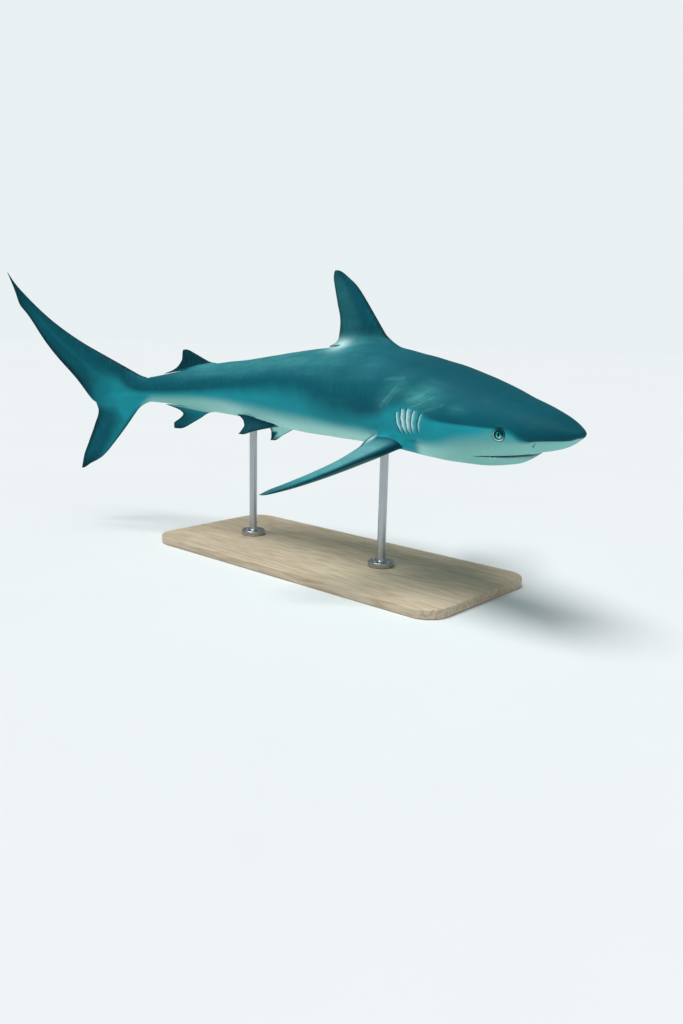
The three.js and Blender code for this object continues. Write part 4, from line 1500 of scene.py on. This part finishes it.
def skin_striations(tree, place, colour):
    """Faint slanting lines over the muscle blocks of the flank."""
    slanted = stretched(tree, place, scale=(4.0, 0.4, 0.5), turn=(0, STRIATION_SLANT, 0))
    lines = rise(tree, 0.5, 0.7, noise(tree, slanted, scale=1.4, detail=3.0, rough=0.65))
    on_back = rise(tree, -0.5, 1.5, stored(tree, "above_dark"))
    behind_gills = rise(tree, 22, 30, station_of(tree, place))
    return mix(tree, product(tree, lines, on_back, behind_gills, 0.16), colour, SHADED_BAND)


def freckled(tree, place, colour):
    """A few dark specks, such as old nicks and large pores."""
    cells = add(tree, "ShaderNodeTexVoronoi", {"Vector": place, "Scale": 1.1})
    random = add(tree, "ShaderNodeSeparateColor", {0: cells.outputs["Color"]}).outputs[0]
    speck = rise(tree, 0.09, 0.04, cells.outputs["Distance"])
    return mix(tree, product(tree, speck, 0.55, rise(tree, 0.8, 0.85, random)), colour, DUSK_AND_SHADE)


# %% Scratches, and the small scar


def vectors(tree, operation, first, second, output=0):
    made = add(tree, "ShaderNodeVectorMath", {0: first, 1: second}, operation=operation)
    return made.outputs[output]


def scratch_group():
    """A thin curved line on the shark's side, from a start and in a direction seen side on."""
    inputs = {
        "Place": ["Vector"], "Start": ["Vector"], "Direction": ["Vector"],
        "Length": ["Float", 1.0], "Bow": ["Float", 0.0], "Width": ["Float", 0.05],
    }
    tree, given, result = new_group("scratch", inputs, {"Mask": "Float"})
    offset = vectors(tree, "SUBTRACT", given["Place"], given["Start"])
    side_on = vectors(tree, "MULTIPLY", offset, (1, 0, 1))
    square_to_it = vectors(tree, "CROSS_PRODUCT", given["Direction"], (0, 1, 0))
    along = vectors(tree, "DOT_PRODUCT", side_on, given["Direction"], "Value")
    away = vectors(tree, "DOT_PRODUCT", side_on, square_to_it, "Value")
    share = calc(tree, "DIVIDE", along, given["Length"])
    hump = product(tree, share, calc(tree, "SUBTRACT", 1.0, share))
    away = calc(tree, "SUBTRACT", away, product(tree, hump, given["Bow"]))
    away = calc(tree, "DIVIDE", calc(tree, "ABSOLUTE", away), given["Width"])
    between_ends = product(tree, rise(tree, 0.0, 0.12, share), rise(tree, 1.0, 0.8, share))
    tree.links.new(product(tree, rise(tree, 1.0, 0.3, away), between_ends), result["Mask"])
    return tree


SCRATCH = scratch_group()
# [start station, start height, end station, end height, bow, width, strength]
RIGHT_SCRATCHES = [
    [19.2, 1.4, 15.4, 3.1, 0.9, 0.08, 0.3],
    [19.8, 2.0, 16.4, 3.7, 0.8, 0.35, 0.12],
    [17.2, 1.1, 14.0, 2.2, 0.4, 0.25, 0.12],
    [24.0, 1.0, 21.2, 4.1, 0.4, 0.4, 0.2],
    [22.9, 1.2, 20.9, 3.5, -0.3, 0.14, 0.16],
    [20.9, 4.4, 24.8, 4.1, 0.2, 0.3, 0.1],
]


def scratched(tree, place, colour):
    """Pale healed scratches, on the right side only."""
    right = rise(tree, 0.3, -0.3, add(tree, "ShaderNodeSeparateXYZ", {0: place}).outputs[1])
    broken = rise(tree, 0.2, 0.6, noise(tree, place, scale=1.2))
    shown = product(tree, right, broken)
    for from_at, from_up, to_at, to_up, bow, width, strength in RIGHT_SCRATCHES:
        length = math.hypot(to_at - from_at, to_up - from_up)
        direction = ((to_at - from_at) / length, 0, (to_up - from_up) / length)
        inputs = {
            "Place": place, "Start": (from_at, 0, from_up), "Direction": direction,
            "Length": length, "Bow": bow, "Width": width,
        }
        mask = add(tree, "ShaderNodeGroup", inputs, node_tree=SCRATCH).outputs["Mask"]
        colour = mix(tree, product(tree, mask, shown, strength), colour, WORN)
    return colour


SCAR_PLACE = (8.65, -3.4, -2.93)  # a small old wound on the right lower jaw


def scarred(tree, place, colour):
    """A ragged dark core in a pale halo."""
    ragged = calc(tree, "SUBTRACT", noise(tree, place, scale=9.0, detail=3.0), 0.5)
    away = vectors(tree, "DISTANCE", place, SCAR_PLACE, "Value")
    away = calc(tree, "MULTIPLY_ADD", ragged, 0.3, away)
    colour = mix(tree, product(tree, rise(tree, 0.45, 0.25, away), 0.4), colour, HIGHLIGHT_AND_HALO)
    return mix(tree, product(tree, rise(tree, 0.24, 0.1, away), 0.8), colour, SCAR)


# %% [markdown]
# A shark's skin is covered in tiny teeth, the denticles, about a millimetre apart.  They are far too
# many to model, but a Voronoi pattern used as bump catches the light the way they do: matt, with a
# slight grain.  The group for unevenness varies the roughness, so the gloss breaks up too.

# %% The skin's relief, and the material
DENTICLES_PER_UNIT = 1 / mm(1.3)
SKIN_RELIEF = 0.00012  # metres, the full height of the finest relief


def skin_height(tree, place, grain):
    cells = add(tree, "ShaderNodeTexVoronoi", {"Vector": place, "Scale": DENTICLES_PER_UNIT})
    denticles = product(tree, cells.outputs["Distance"], 0.35)
    lengthwise = stretched(tree, place, scale=(0.8, 2.0, 2.0))
    creases = noise(tree, lengthwise, scale=5.0, detail=4.0, rough=0.65)
    return calc(tree, "ADD", denticles, calc(tree, "ADD", grain, creases))


def skin_material():
    material, tree, shader = new_material("shark_skin", Specular_IOR_Level=0.04)
    place = stored(tree, "straight", "Vector")
    colour = skin_colour(tree, place)
    colour = skin_striations(tree, place, colour)
    colour = freckled(tree, place, colour)
    colour = scratched(tree, place, colour)
    colour = mix(tree, stored(tree, "rim"), colour, HIGHLIGHT_AND_HALO)
    colour = scarred(tree, place, colour)
    colour = mix(tree, stored(tree, "hollow"), colour, SHADE_PAINT)
    grain, roughness = uneven(tree, place, scale=8.0, roughness=0.52, spread=0.12)
    height = skin_height(tree, place, grain)
    finish_surface(tree, shader, colour, roughness, height, SKIN_RELIEF)
    return material


SKIN = skin_material()
shark = finished("shark_skin", plain_skin, SKIN)
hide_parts(*flesh_nodes)
print("skin replaces", len(flesh_nodes), "nodes")

# %% [markdown]
# ## Eyes
#
# A shark's eye is a ball behind a round opening in the skin, with a tall narrow pupil.  Each one is
# turned as a loft about the axis that looks straight out of the head, and the cornea swells a little
# over the pupil.  It sits so deep that only its front shows in the ring of lid.  Each point stores
# its place on the eye's own plane in millimetres, so the iris and pupil can be painted as on a dial.

# %% The eyeballs
EYEBALL_RADIUS = 13.0  # millimetres
EYE_PROUD = 0.9  # how far the eye's front stands out from the cheek
CORNEA = 0.5  # the extra swelling over the pupil
CORNEA_WIDTH = 0.42  # of that swelling, as an angle from the eye's axis
EYE_RINGS, EYE_AROUND = 40, 56
POLE = 0.02  # the angle at which the first and last rings stand
WELL_OUTSIDE = 12  # further to the side than any part of the head


def cheek_at(side):
    """The point and the outward direction of the cheek where the eye looks out."""
    start = Vector((EYE["station"], side * WELL_OUTSIDE, EYE["up"]))
    spot, normal, _, _ = smooth_tree.ray_cast(start, Vector((0, -side, 0)))
    return spot, normal if normal.y * side > 0 else -normal


def eyeball(name, side, material):
    """A ball turned about the axis that looks out, in rings from its front to its back."""
    spot, axis = cheek_at(side)
    aft = (Vector((1, 0, 0)) - axis * axis.x).normalized()
    upright = axis.cross(aft)
    if upright.z < 0:
        upright = -upright
    tilt = np.linspace(POLE, math.pi - POLE, EYE_RINGS)
    turn = full_turn(EYE_AROUND)
    radius = EYEBALL_RADIUS + CORNEA * bell(tilt, CORNEA_WIDTH)
    sideways = np.outer(radius * np.sin(tilt), np.cos(turn)).ravel()
    upward = np.outer(radius * np.sin(tilt), np.sin(turn)).ravel()
    outward_by = np.repeat(radius * np.cos(tilt) + EYE_PROUD - EYEBALL_RADIUS, EYE_AROUND)
    places = np.stack([sideways, upward, outward_by], 1)
    straight = np.array(spot) + mm(1) * places @ np.array([aft, upright, axis])
    mesh = loft(name, posed(straight).reshape(EYE_RINGS, EYE_AROUND, 3))
    set_attribute(mesh, "eye_plane", places)
    piece = finished(name + "_ball", mesh, material)
    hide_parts(name)


# %% [markdown]
# The iris is pale green with fine fibres that run outwards, shaded in front and above and where it
# meets the lid, with a black pupil like a tall comma.  The clear cornea is a coat of gloss over all
# of it, set on the shader as a plain value.

# %% The eye's material
IRIS = paint(160, 245, 226)
IRIS_DEEP = paint(24, 150, 150)
PUPIL = paint(0, 2, 10)
EYE_RIM = paint(2, 34, 42)
PUPIL_HALF_WIDTH, PUPIL_HALF_HEIGHT = 2.3, 4.9  # millimetres
PUPIL_LEAN = 0.5  # how far the pupil's ends curve back
EYE_RELIEF = 0.00002  # metres


def eye_material():
    material, tree, shader = new_material(
        "shark_eye", Coat_Weight=0.15, Coat_Roughness=0.02, Coat_IOR=1.33, Specular_IOR_Level=0.05
    )
    place = stored(tree, "eye_plane", "Vector")
    aft, upward, _ = add(tree, "ShaderNodeSeparateXYZ", {0: place}).outputs
    away = vectors(tree, "LENGTH", vectors(tree, "MULTIPLY", place, (1, 1, 0)), (0, 0, 0), "Value")
    direction = calc(tree, "ARCTAN2", upward, aft)
    ray = add(tree, "ShaderNodeCombineXYZ", {0: product(tree, direction, 7.0), 1: away})
    outwards = stretched(tree, ray.outputs[0], scale=(1, 0.12, 1))
    fibres = rise(tree, 0.35, 0.7, noise(tree, outwards, scale=2.2, detail=4.0, rough=0.7))
    deep = calc(tree, "MULTIPLY_ADD", fibres, 0.5, rise(tree, -4.0, 1.0, upward))
    colour = mix(tree, deep, IRIS, IRIS_DEEP)
    ahead_and_up = calc(tree, "SUBTRACT", upward, product(tree, aft, 0.7))
    shaded = product(tree, rise(tree, 2.5, 6.0, ahead_and_up), 0.85)
    colour = mix(tree, shaded, colour, EYE_RIM)
    colour = mix(tree, rise(tree, 7.2, 8.0, away), colour, EYE_RIM)
    level = calc(tree, "DIVIDE", upward, PUPIL_HALF_HEIGHT)
    lean = product(tree, level, level, PUPIL_LEAN)
    from_middle = calc(tree, "DIVIDE", calc(tree, "SUBTRACT", aft, lean), PUPIL_HALF_WIDTH)
    squares = [product(tree, value, value) for value in (from_middle, level)]
    pupil = rise(tree, 1.12, 0.9, calc(tree, "ADD", *squares))
    colour = mix(tree, pupil, colour, PUPIL)
    height, roughness = uneven(tree, place, scale=0.8, roughness=0.12, spread=0.04)
    finish_surface(tree, shader, colour, roughness, height, EYE_RELIEF)
    return material


EYE_MATERIAL = eye_material()
for name, side in [("eye_left", 1), ("eye_right", -1)]:
    eyeball(name, side, EYE_MATERIAL)
print("eyes look out at", [round(value, 2) for value in cheek_at(-1)[0]])

# %% [markdown]
# ## Gums and teeth
#
# The mouth is open by only a few millimetres, and what shows in the slot is wet flesh with the points
# of the teeth, both painted dark and grey as they look in the mouth's shade.  The jaws follow the line
# in which the mouth's plane meets the skin.  The gums are one closed band set in from that line.  The
# teeth repeat along it, so Geometry Nodes place them: the tree walks a curve, puts a small cone at each
# step, turns it along the jaw and flattens it.

# %% The line of the jaws
JAW_STEPS = 90
JAW_SEARCHES = 400  # stations at which the skin's width is measured


def half_width_at(station):
    """How far out the skin is at the mouth's plane, or None in front of the mouth."""
    height = float(mouth_plane(station)[0])
    hit = smooth_tree.ray_cast(Vector((station, WELL_OUTSIDE, height)), Vector((0, -1, 0)))[0]
    return None if hit is None or hit.y < 0 else hit.y


def jaw_line(inset, rear):
    """Points (station, across) along the jaw from the right corner round to the left one."""
    stations = MOUTH["front"] + (rear - MOUTH["front"]) * np.linspace(0, 1, JAW_SEARCHES) ** 2
    found = [(s, half_width_at(s)) for s in stations]
    side = np.array([(s, y) for s, y in found if y is not None])
    full = np.concatenate([side[::-1] * (1, -1), side])
    run = np.concatenate([[0], np.cumsum(np.linalg.norm(np.diff(full, axis=0), axis=1))])
    even = np.linspace(0, run[-1], JAW_STEPS)
    line = np.stack([np.interp(even, run, full[:, k]) for k in (0, 1)], 1)
    ahead = np.gradient(line, axis=0)
    ahead /= np.linalg.norm(ahead, axis=1)[:, None]
    inward = np.stack([np.abs(ahead[:, 1]), -ahead[:, 0] * np.sign(ahead[:, 1])], 1)
    return line + (inset - mm(1) * chin_relief(line[:, :1])) * inward


jaw = jaw_line(0, MOUTH["corner"])
print("jaws start at station", round(float(jaw[:, 0].min()), 2))

# %% The gums
# the mouth's flesh, painted dark as in shade
SHADED_LINING = paint(4, 58, 68)
GUM_INSET = mm(5.5)
GUM_LAP = mm(0.8)  # how far the band reaches over and under the open slot
# the band's section: how far inwards, in millimetres, and the share of the slot's half height
GUM_PROFILE = [
    (1.6, 1.4), (0.25, 1.05), (0.0, 0.5), (0.25, 0.0), (0.0, -0.5), (0.25, -1.05), (1.6, -1.4)
]


def gums(material):
    """A band along the jaw, hollowed towards the mouth, that shuts the slot from behind."""
    rings = []
    for inward, share in GUM_PROFILE:
        line = jaw_line(GUM_INSET + mm(inward), MOUTH["corner"] - 0.2)
        middle, half = mouth_plane(line[:, 0])
        height = middle + share * half + np.sign(share) * GUM_LAP * (abs(share) > 1)
        rings.append(posed(np.column_stack([line, height])))
    piece = finished("gums", loft("gums", rings), material)


gums(even_material(
    "mouth_lining", SHADED_LINING, clouds=(90.0, 0.12), grain=(700.0, 0.4, 0.1), depth=0.0003,
    Coat_Weight=0.3, Coat_Roughness=0.15,
))

# %% One tooth row as a tree of geometry nodes
BLADE = {"Vertices": 10, "Side Segments": 4, "Radius Bottom": 0.5, "Depth": 1.0}
LEAST_TOOTH, MOST_TOOTH = (0.85, 0.9, 0.75), (1.1, 1.1, 1.1)  # shares of its sizes


def real_copies(tree, material, **inputs):
    """Copies of a shape on points, made into plain geometry with their material on."""
    copies = add(tree, "GeometryNodeInstanceOnPoints", inputs).outputs[0]
    real = add(tree, "GeometryNodeRealizeInstances", {0: copies}).outputs[0]
    inputs = {"Geometry": real, "Material": material}
    return add(tree, "GeometryNodeSetMaterial", inputs).outputs[0]


def tooth_tree():
    """Blades at even steps along a line, each turned to follow it and varied a little."""
    inputs = {
        "Jaw line": ["Geometry"], "Gap": ["Float", 0.006], "Width": ["Float", 0.005],
        "Height": ["Float", 0.004], "Thickness": ["Float", 0.0014], "Turn over": ["Float", 0.0],
        "Seed": ["Int", 1], "Material": ["Material"],
    }
    tree, given, result = new_group("tooth_row", inputs, {"Teeth": "Geometry"}, "GeometryNodeTree")
    curve = add(tree, "GeometryNodeMeshToCurve", {"Mesh": given["Jaw line"]}).outputs["Curve"]
    spacing = {"Curve": curve, "Length": given["Gap"]}
    spaced = add(tree, "GeometryNodeResampleCurve", spacing, mode="LENGTH").outputs[0]
    blade = add(tree, "GeometryNodeMeshCone", BLADE).outputs["Mesh"]
    sizes = {0: given["Width"], 1: given["Thickness"], 2: given["Height"]}
    size = add(tree, "ShaderNodeCombineXYZ", sizes).outputs[0]
    ahead = {"Vector": add(tree, "GeometryNodeInputTangent").outputs[0]}
    along = add(tree, "FunctionNodeAlignRotationToVector", ahead, axis="X", pivot_axis="Z").outputs[0]
    over = add(tree, "ShaderNodeCombineXYZ", {0: given["Turn over"]}).outputs[0]
    turns = {"Rotation": along, "Rotate By": over}
    turned = add(tree, "FunctionNodeRotateRotation", turns, rotation_space="LOCAL").outputs[0]
    limits = {"Min": LEAST_TOOTH, "Max": MOST_TOOTH, "Seed": given["Seed"]}
    vary = add(tree, "FunctionNodeRandomValue", limits, data_type="FLOAT_VECTOR").outputs[0]
    scale = vectors(tree, "MULTIPLY", size, vary)
    teeth = real_copies(
        tree, given["Material"], Points=spaced, Instance=blade, Rotation=turned, Scale=scale
    )
    tree.links.new(teeth, result["Teeth"])
    return tree


# %% Running a tree on a mesh
def from_nodes(name, mesh, tree, **values):
    """Runs a tree of geometry nodes on a mesh and gives back the result as a plain mesh."""
    holder = in_scene(name, mesh)
    modifier = holder.modifiers.new("nodes", "NODES")
    modifier.node_group = tree
    given = [item for item in tree.interface.items_tree if item.in_out == "INPUT"]
    sockets = {item.name: item.identifier for item in given}
    for socket, value in values.items():
        modifier[sockets[socket.replace("_", " ")]] = value
    made = result_of(holder)
    bpy.data.objects.remove(holder)
    return made


# %% The teeth
# the teeth, painted grey-teal as in the mouth's shade
SHADED_TOOTH = paint(112, 158, 156)
TOOTH_ROOT = mm(0.9)  # how deep the teeth stand in the jaw
LAST_TOOTH = 9.0  # the station where the rows end
# each row's way up, how far it is set in, and its teeth's gap, width and height, in metres
TOOTH_ROWS = {
    "teeth_upper": dict(way=-1, inset=mm(4.6), Gap=0.0064, Width=0.0048, Height=0.0032),
    "teeth_lower": dict(way=1, inset=mm(5.4), Gap=0.0058, Width=0.0026, Height=0.003),
}


def tooth_row(name, way, inset, tree, material, **sizes):
    """The upper row hangs (way -1) and the lower one stands (way 1), each rooted in its jaw."""
    line = jaw_line(inset, LAST_TOOTH)
    middle, half = mouth_plane(line[:, 0])
    points = posed(np.column_stack([line, middle - way * (half + TOOTH_ROOT)]))
    edges = [(k, k + 1) for k in range(len(points) - 1)]
    mesh = mesh_from(name, points, [], edges)
    turn = 0.0 if way > 0 else math.pi
    made = from_nodes(name, mesh, tree, Turn_over=turn, Seed=7 + way, Material=material, **sizes)
    piece = finished(name, made, material)
    return piece


TOOTH_TREE = tooth_tree()
TEETH = even_material(
    "teeth", SHADED_TOOTH, clouds=(400.0, 0.06), grain=(2500.0, 0.3, 0.08), depth=0.00005,
    Coat_Weight=0.5, Coat_Roughness=0.1,
)
for name, row in TOOTH_ROWS.items():
    piece = tooth_row(name, tree=TOOTH_TREE, material=TEETH, **row)
    print(name, len(piece.data.polygons), "faces")

# %% [markdown]
# ## The stand
#
# Two steel rods over a board hold the animal up.  The board is a rounded slab with softened edges,
# made as a stack of outlines like the fins.  The rods are turned shapes: a profile of radius and
# height swept round an axis, as on a lathe.

# %% The board
BOARD_CORNER = 0.06
CORNER_STEPS = 10
BOARD_EDGE = 0.004  # the radius of its softened edges
EDGE_STEPS = 6
CAP_INSET = 0.02  # how far in the flat faces have a last ring


def rounded_outline(half_x, half_y, corner):
    quarter = np.linspace(0, math.pi / 2, CORNER_STEPS + 1)
    points = []
    for start, (way_x, way_y) in enumerate([(1, 1), (-1, 1), (-1, -1), (1, -1)]):
        turn = quarter + start * math.pi / 2
        x = way_x * (half_x - corner) + corner * np.cos(turn)
        y = way_y * (half_y - corner) + corner * np.sin(turn)
        points.append(np.stack([x, y], 1))
    return np.concatenate(points)


def board(material):
    """Outlines from the bottom face round both soft edges to the top face."""
    low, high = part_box("stand_base")
    middle, half = (low + high) / 2, (high - low) / 2
    bend = np.linspace(0, math.pi / 2, EDGE_STEPS + 1)
    early, late = (1 - np.sin(bend)) * BOARD_EDGE, (1 - np.cos(bend)) * BOARD_EDGE
    inset = np.concatenate([[CAP_INSET], early, late, [CAP_INSET]])
    height = np.concatenate([[low.z], low.z + late, high.z - early, [high.z]])
    rings = []
    for inward, z in zip(inset, height):
        flat = rounded_outline(half.x - inward, half.y - inward, BOARD_CORNER - inward)
        rings.append(np.column_stack([flat + (middle.x, middle.y), np.full(len(flat), z)]))
    piece = finished("stand_board", loft("board", rings), material)
    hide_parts("stand_base")


# %% The rods and their collars
COLLAR_RADIUS, COLLAR_HEIGHT = 0.034, 0.014
COLLAR_EDGE, COLLAR_FOOT = 0.003, 0.001  # its rounding above, and its bevel below
ROD_RADIUS = 0.011
FLARE = 0.004  # the hollow rounding between collar and rod
INTO_BODY = 0.006  # how far the rods run on into the belly
BEND = np.linspace(0, math.pi / 2, 6)  # the angles of a rounded edge
ROD_START, ROD_STEPS = 0.03, 12  # the height of the shaft's first ring, and its rings
ROD_END = [(0, 0.002), (0.001, 0.0003), (0.002, 0)]  # inwards, and down from the top


def turned(profile, centre, around=64):
    """A closed mesh from (radius, height) pairs swept round an upright axis."""
    turn = full_turn(around)
    x, y = np.cos(turn), np.sin(turn)
    return loft("turned", [
        np.stack([centre.x + r * x, centre.y + r * y, np.full(around, z)], 1) for r, z in profile
    ])


def rod_profile(foot, top):
    """From the collar's bevel over its rounded edge, and up the flare and the shaft."""
    collar_top = foot + COLLAR_HEIGHT
    edge_out, edge_up = COLLAR_RADIUS - COLLAR_EDGE, collar_top - COLLAR_EDGE
    profile = [(COLLAR_RADIUS - COLLAR_FOOT, foot), (COLLAR_RADIUS, foot + COLLAR_FOOT)]
    for a in BEND:
        profile.append((edge_out + COLLAR_EDGE * math.cos(a), edge_up + COLLAR_EDGE * math.sin(a)))
    for a in BEND:
        profile.append((ROD_RADIUS + FLARE * (1 - math.sin(a)), collar_top + FLARE * (1 - math.cos(a))))
    for z in np.linspace(foot + ROD_START, top - ROD_END[0][1], ROD_STEPS)[:-1]:
        profile.append((ROD_RADIUS, z))
    return profile + [(ROD_RADIUS - inward, top - down) for inward, down in ROD_END]


def rod(name, material):
    low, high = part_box(name)
    profile = rod_profile(low.z, high.z + INTO_BODY)
    piece = finished(name + "_turned", turned(profile, (low + high) / 2), material)
    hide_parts(name)


# %% [markdown]
# Four round-headed screws hold each collar to the board.  One screw is turned like the rods, and a
# small tree of geometry nodes sets copies of it round a circle.  Its named inputs are the number of
# screws, the circle's radius and its centre, so the same tree serves both rods.

# %% The screws
# a round head with a hole in its top: radius and height, in millimetres
SCREW_PROFILE = [(3.6, -0.4), (3.6, 0.5), (3.1, 1.2), (2.2, 1.7), (1.5, 1.75), (1.4, 0.9), (0.2, 0.8)]
SCREW_AROUND = 12
SCREWS = dict(Count=4, Ring_radius=0.0245)


def screw_tree():
    """Copies of the screw round a circle."""
    inputs = {
        "Screw": ["Geometry"], "Count": ["Int"], "Ring radius": ["Float"],
        "Centre": ["Vector"], "Material": ["Material"],
    }
    tree, given, result = new_group("screw_ring", inputs, {"Screws": "Geometry"}, "GeometryNodeTree")
    circle = {"Vertices": given["Count"], "Radius": given["Ring radius"]}
    ring = add(tree, "GeometryNodeMeshCircle", circle).outputs[0]
    moving = {"Geometry": ring, "Translation": given["Centre"]}
    moved = add(tree, "GeometryNodeTransform", moving).outputs[0]
    placed = real_copies(tree, given["Material"], Points=moved, Instance=given["Screw"])
    tree.links.new(placed, result["Screws"])
    return tree


SCREW_TREE = screw_tree()


def screws(name, rod_name, material):
    low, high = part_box(rod_name)
    centre = (low + high) / 2
    collar_top = (centre.x, centre.y, low.z + COLLAR_HEIGHT)
    profile = [(r / 1000, z / 1000) for r, z in SCREW_PROFILE]
    one = turned(profile, Vector((0, 0, 0)), SCREW_AROUND)
    made = from_nodes(name, one, SCREW_TREE, Centre=collar_top, Material=material, **SCREWS)
    piece = finished(name, made, material)


# %% [markdown]
# The board is pale ash.  Its grain is a noise stretched a dozen times along the board, with a faster
# one for the pores, which are also sunk by the bump.  The steel is brushed round its axis: fine
# rings of roughness, and hardly any colour.

# %% Wood and steel
WOOD_LIGHT = paint(206, 190, 164)
WOOD_DARK = paint(160, 136, 106)
STEEL = paint(176, 182, 186)
WOOD_RELIEF, STEEL_RELIEF = 0.00015, 0.00003  # metres


def wood_material():
    material, tree, shader = new_material("board_ash", Coat_Weight=0.15, Coat_Roughness=0.3)
    place = object_place(tree)
    lengthwise = stretched(tree, place, scale=(1.2, 14.0, 14.0))
    rings = noise(tree, lengthwise, scale=1.6, detail=3.0, rough=0.55)
    bands = calc(tree, "PINGPONG", product(tree, rings, 9.0), 0.5)
    drawn_out = stretched(tree, place, scale=(6.0, 160.0, 160.0))
    pores = rise(tree, 0.5, 0.75, noise(tree, drawn_out, scale=3.0, detail=3.0, rough=0.6))
    grown = product(tree, rise(tree, 0.05, 0.5, bands), 0.5)
    share = calc(tree, "ADD", grown, product(tree, pores, 0.35))
    colour = mix(tree, share, WOOD_LIGHT, WOOD_DARK)
    colour = cloudy(tree, place, colour, scale=6.0, amount=0.04)
    height, roughness = uneven(tree, lengthwise, scale=40.0, roughness=0.45, spread=0.12)
    height = calc(tree, "SUBTRACT", height, product(tree, pores, 0.8))
    finish_surface(tree, shader, colour, roughness, height, WOOD_RELIEF)
    return material


def steel_material():
    material, tree, shader = new_material("rod_steel", Metallic=1.0)
    place = object_place(tree)
    colour = cloudy(tree, place, STEEL, scale=20.0, amount=0.03)
    brushed = stretched(tree, place, scale=(8.0, 8.0, 900.0))
    height, roughness = uneven(tree, brushed, scale=3.0, roughness=0.3, spread=0.16)
    finish_surface(tree, shader, colour, roughness, height, STEEL_RELIEF)
    return material


board(wood_material())
STEEL_MATERIAL = steel_material()
for end in ("front", "rear"):
    rod("stand_rod_" + end, STEEL_MATERIAL)
    screws("stand_screws_" + end, "stand_rod_" + end, STEEL_MATERIAL)
    print("rod and", SCREWS["Count"], "screws:", end)

# %% [markdown]
# ## Floor, light and camera
#
# The room is a plain pale studio.  A sun with a wide disc gives soft light from above, as the sea's
# surface does, and the pale floor throws some of it back up at the belly, as sand does.  The
# background is close to the floor's colour, so no horizon cuts behind the animal.

# %% The floor
FLOOR = paint(226, 230, 231)
FLOOR_RADII = (1, 4, 12, 30)  # the rings of its disc, in metres
FLOOR_AROUND = 64


def floor(material):
    turn = full_turn(FLOOR_AROUND)
    circle = np.stack([np.cos(turn), np.sin(turn), 0 * turn], 1)
    faces = ring_faces(len(FLOOR_RADII), FLOOR_AROUND)[:-1]
    mesh = mesh_from("floor", np.concatenate([radius * circle for radius in FLOOR_RADII]), faces)
    mesh.materials.append(material)
    in_scene("studio_floor", mesh)


floor(even_material(
    "studio_floor", FLOOR, clouds=(1.0, 0.01), grain=(60.0, 0.85, 0.05), depth=0.0001,
    Specular_IOR_Level=0.1,
))

# %% Light




def sun(name, strength, width, tilt, heading):
    light = bpy.data.lights.new(name, "SUN")
    light.energy = strength
    light.angle = math.radians(width)
    in_scene(name, light).rotation_euler = (math.radians(tilt), 0, math.radians(heading))


def sky(colour, light_strength, seen_strength):
    """Even light from all round, which the camera sees as a plain pale backdrop."""
    world = bpy.data.worlds.new("studio")
    world.use_nodes = True
    tree = world.node_tree
    seen = add(tree, "ShaderNodeLightPath").outputs["Is Camera Ray"]
    inputs = {"Factor": seen, "A": light_strength, "B": seen_strength}
    strength = add(tree, "ShaderNodeMix", inputs).outputs[0]
    background = tree.nodes["Background"]
    background.inputs["Color"].default_value = colour
    tree.links.new(strength, background.inputs["Strength"])
    bpy.context.scene.world = world


sun("overhead", strength=2.9, width=35, tilt=16, heading=-30)
sun("from_camera_side", strength=0.3, width=60, tilt=62, heading=60)
sky(paint(238, 246, 248), light_strength=0.24, seen_strength=0.95)

# %% [markdown]
# The camera stands on the animal's right at the height of its back.  It is turned about the upright
# axis, then tipped down, and last rolled about its own line of sight, and the matrices are
# multiplied in that order.  Colours are shown as they are, without a film-like curve.

# %% The camera
CAMERA_PLACE = Vector((1.508, -1.646, 0.618))
CAMERA_HEADING = 41.64  # degrees that the view is turned from +Y
CAMERA_DOWN = 12.14  # degrees that it looks down
CAMERA_ROLL = 1.29  # degrees that it is rolled
SENSOR = 36.0  # millimetres, along the picture's longer side
FOCAL_LENGTH = 29.88

camera = in_scene("camera", bpy.data.cameras.new("camera"))
camera.data.sensor_width = SENSOR
camera.data.lens = FOCAL_LENGTH
camera.matrix_world = (
    Matrix.Translation(CAMERA_PLACE)
    @ Matrix.Rotation(math.radians(CAMERA_HEADING), 4, "Z")
    @ Matrix.Rotation(math.radians(90 - CAMERA_DOWN), 4, "X")
    @ Matrix.Rotation(math.radians(CAMERA_ROLL), 4, "Z")
)
bpy.context.scene.camera = camera
bpy.context.scene.view_settings.view_transform = "Standard"

# %% [markdown]
# ## Last of all
#
# The scene is brought up to date once more.

# %% Bringing the scene up to date
bpy.context.view_layer.update()
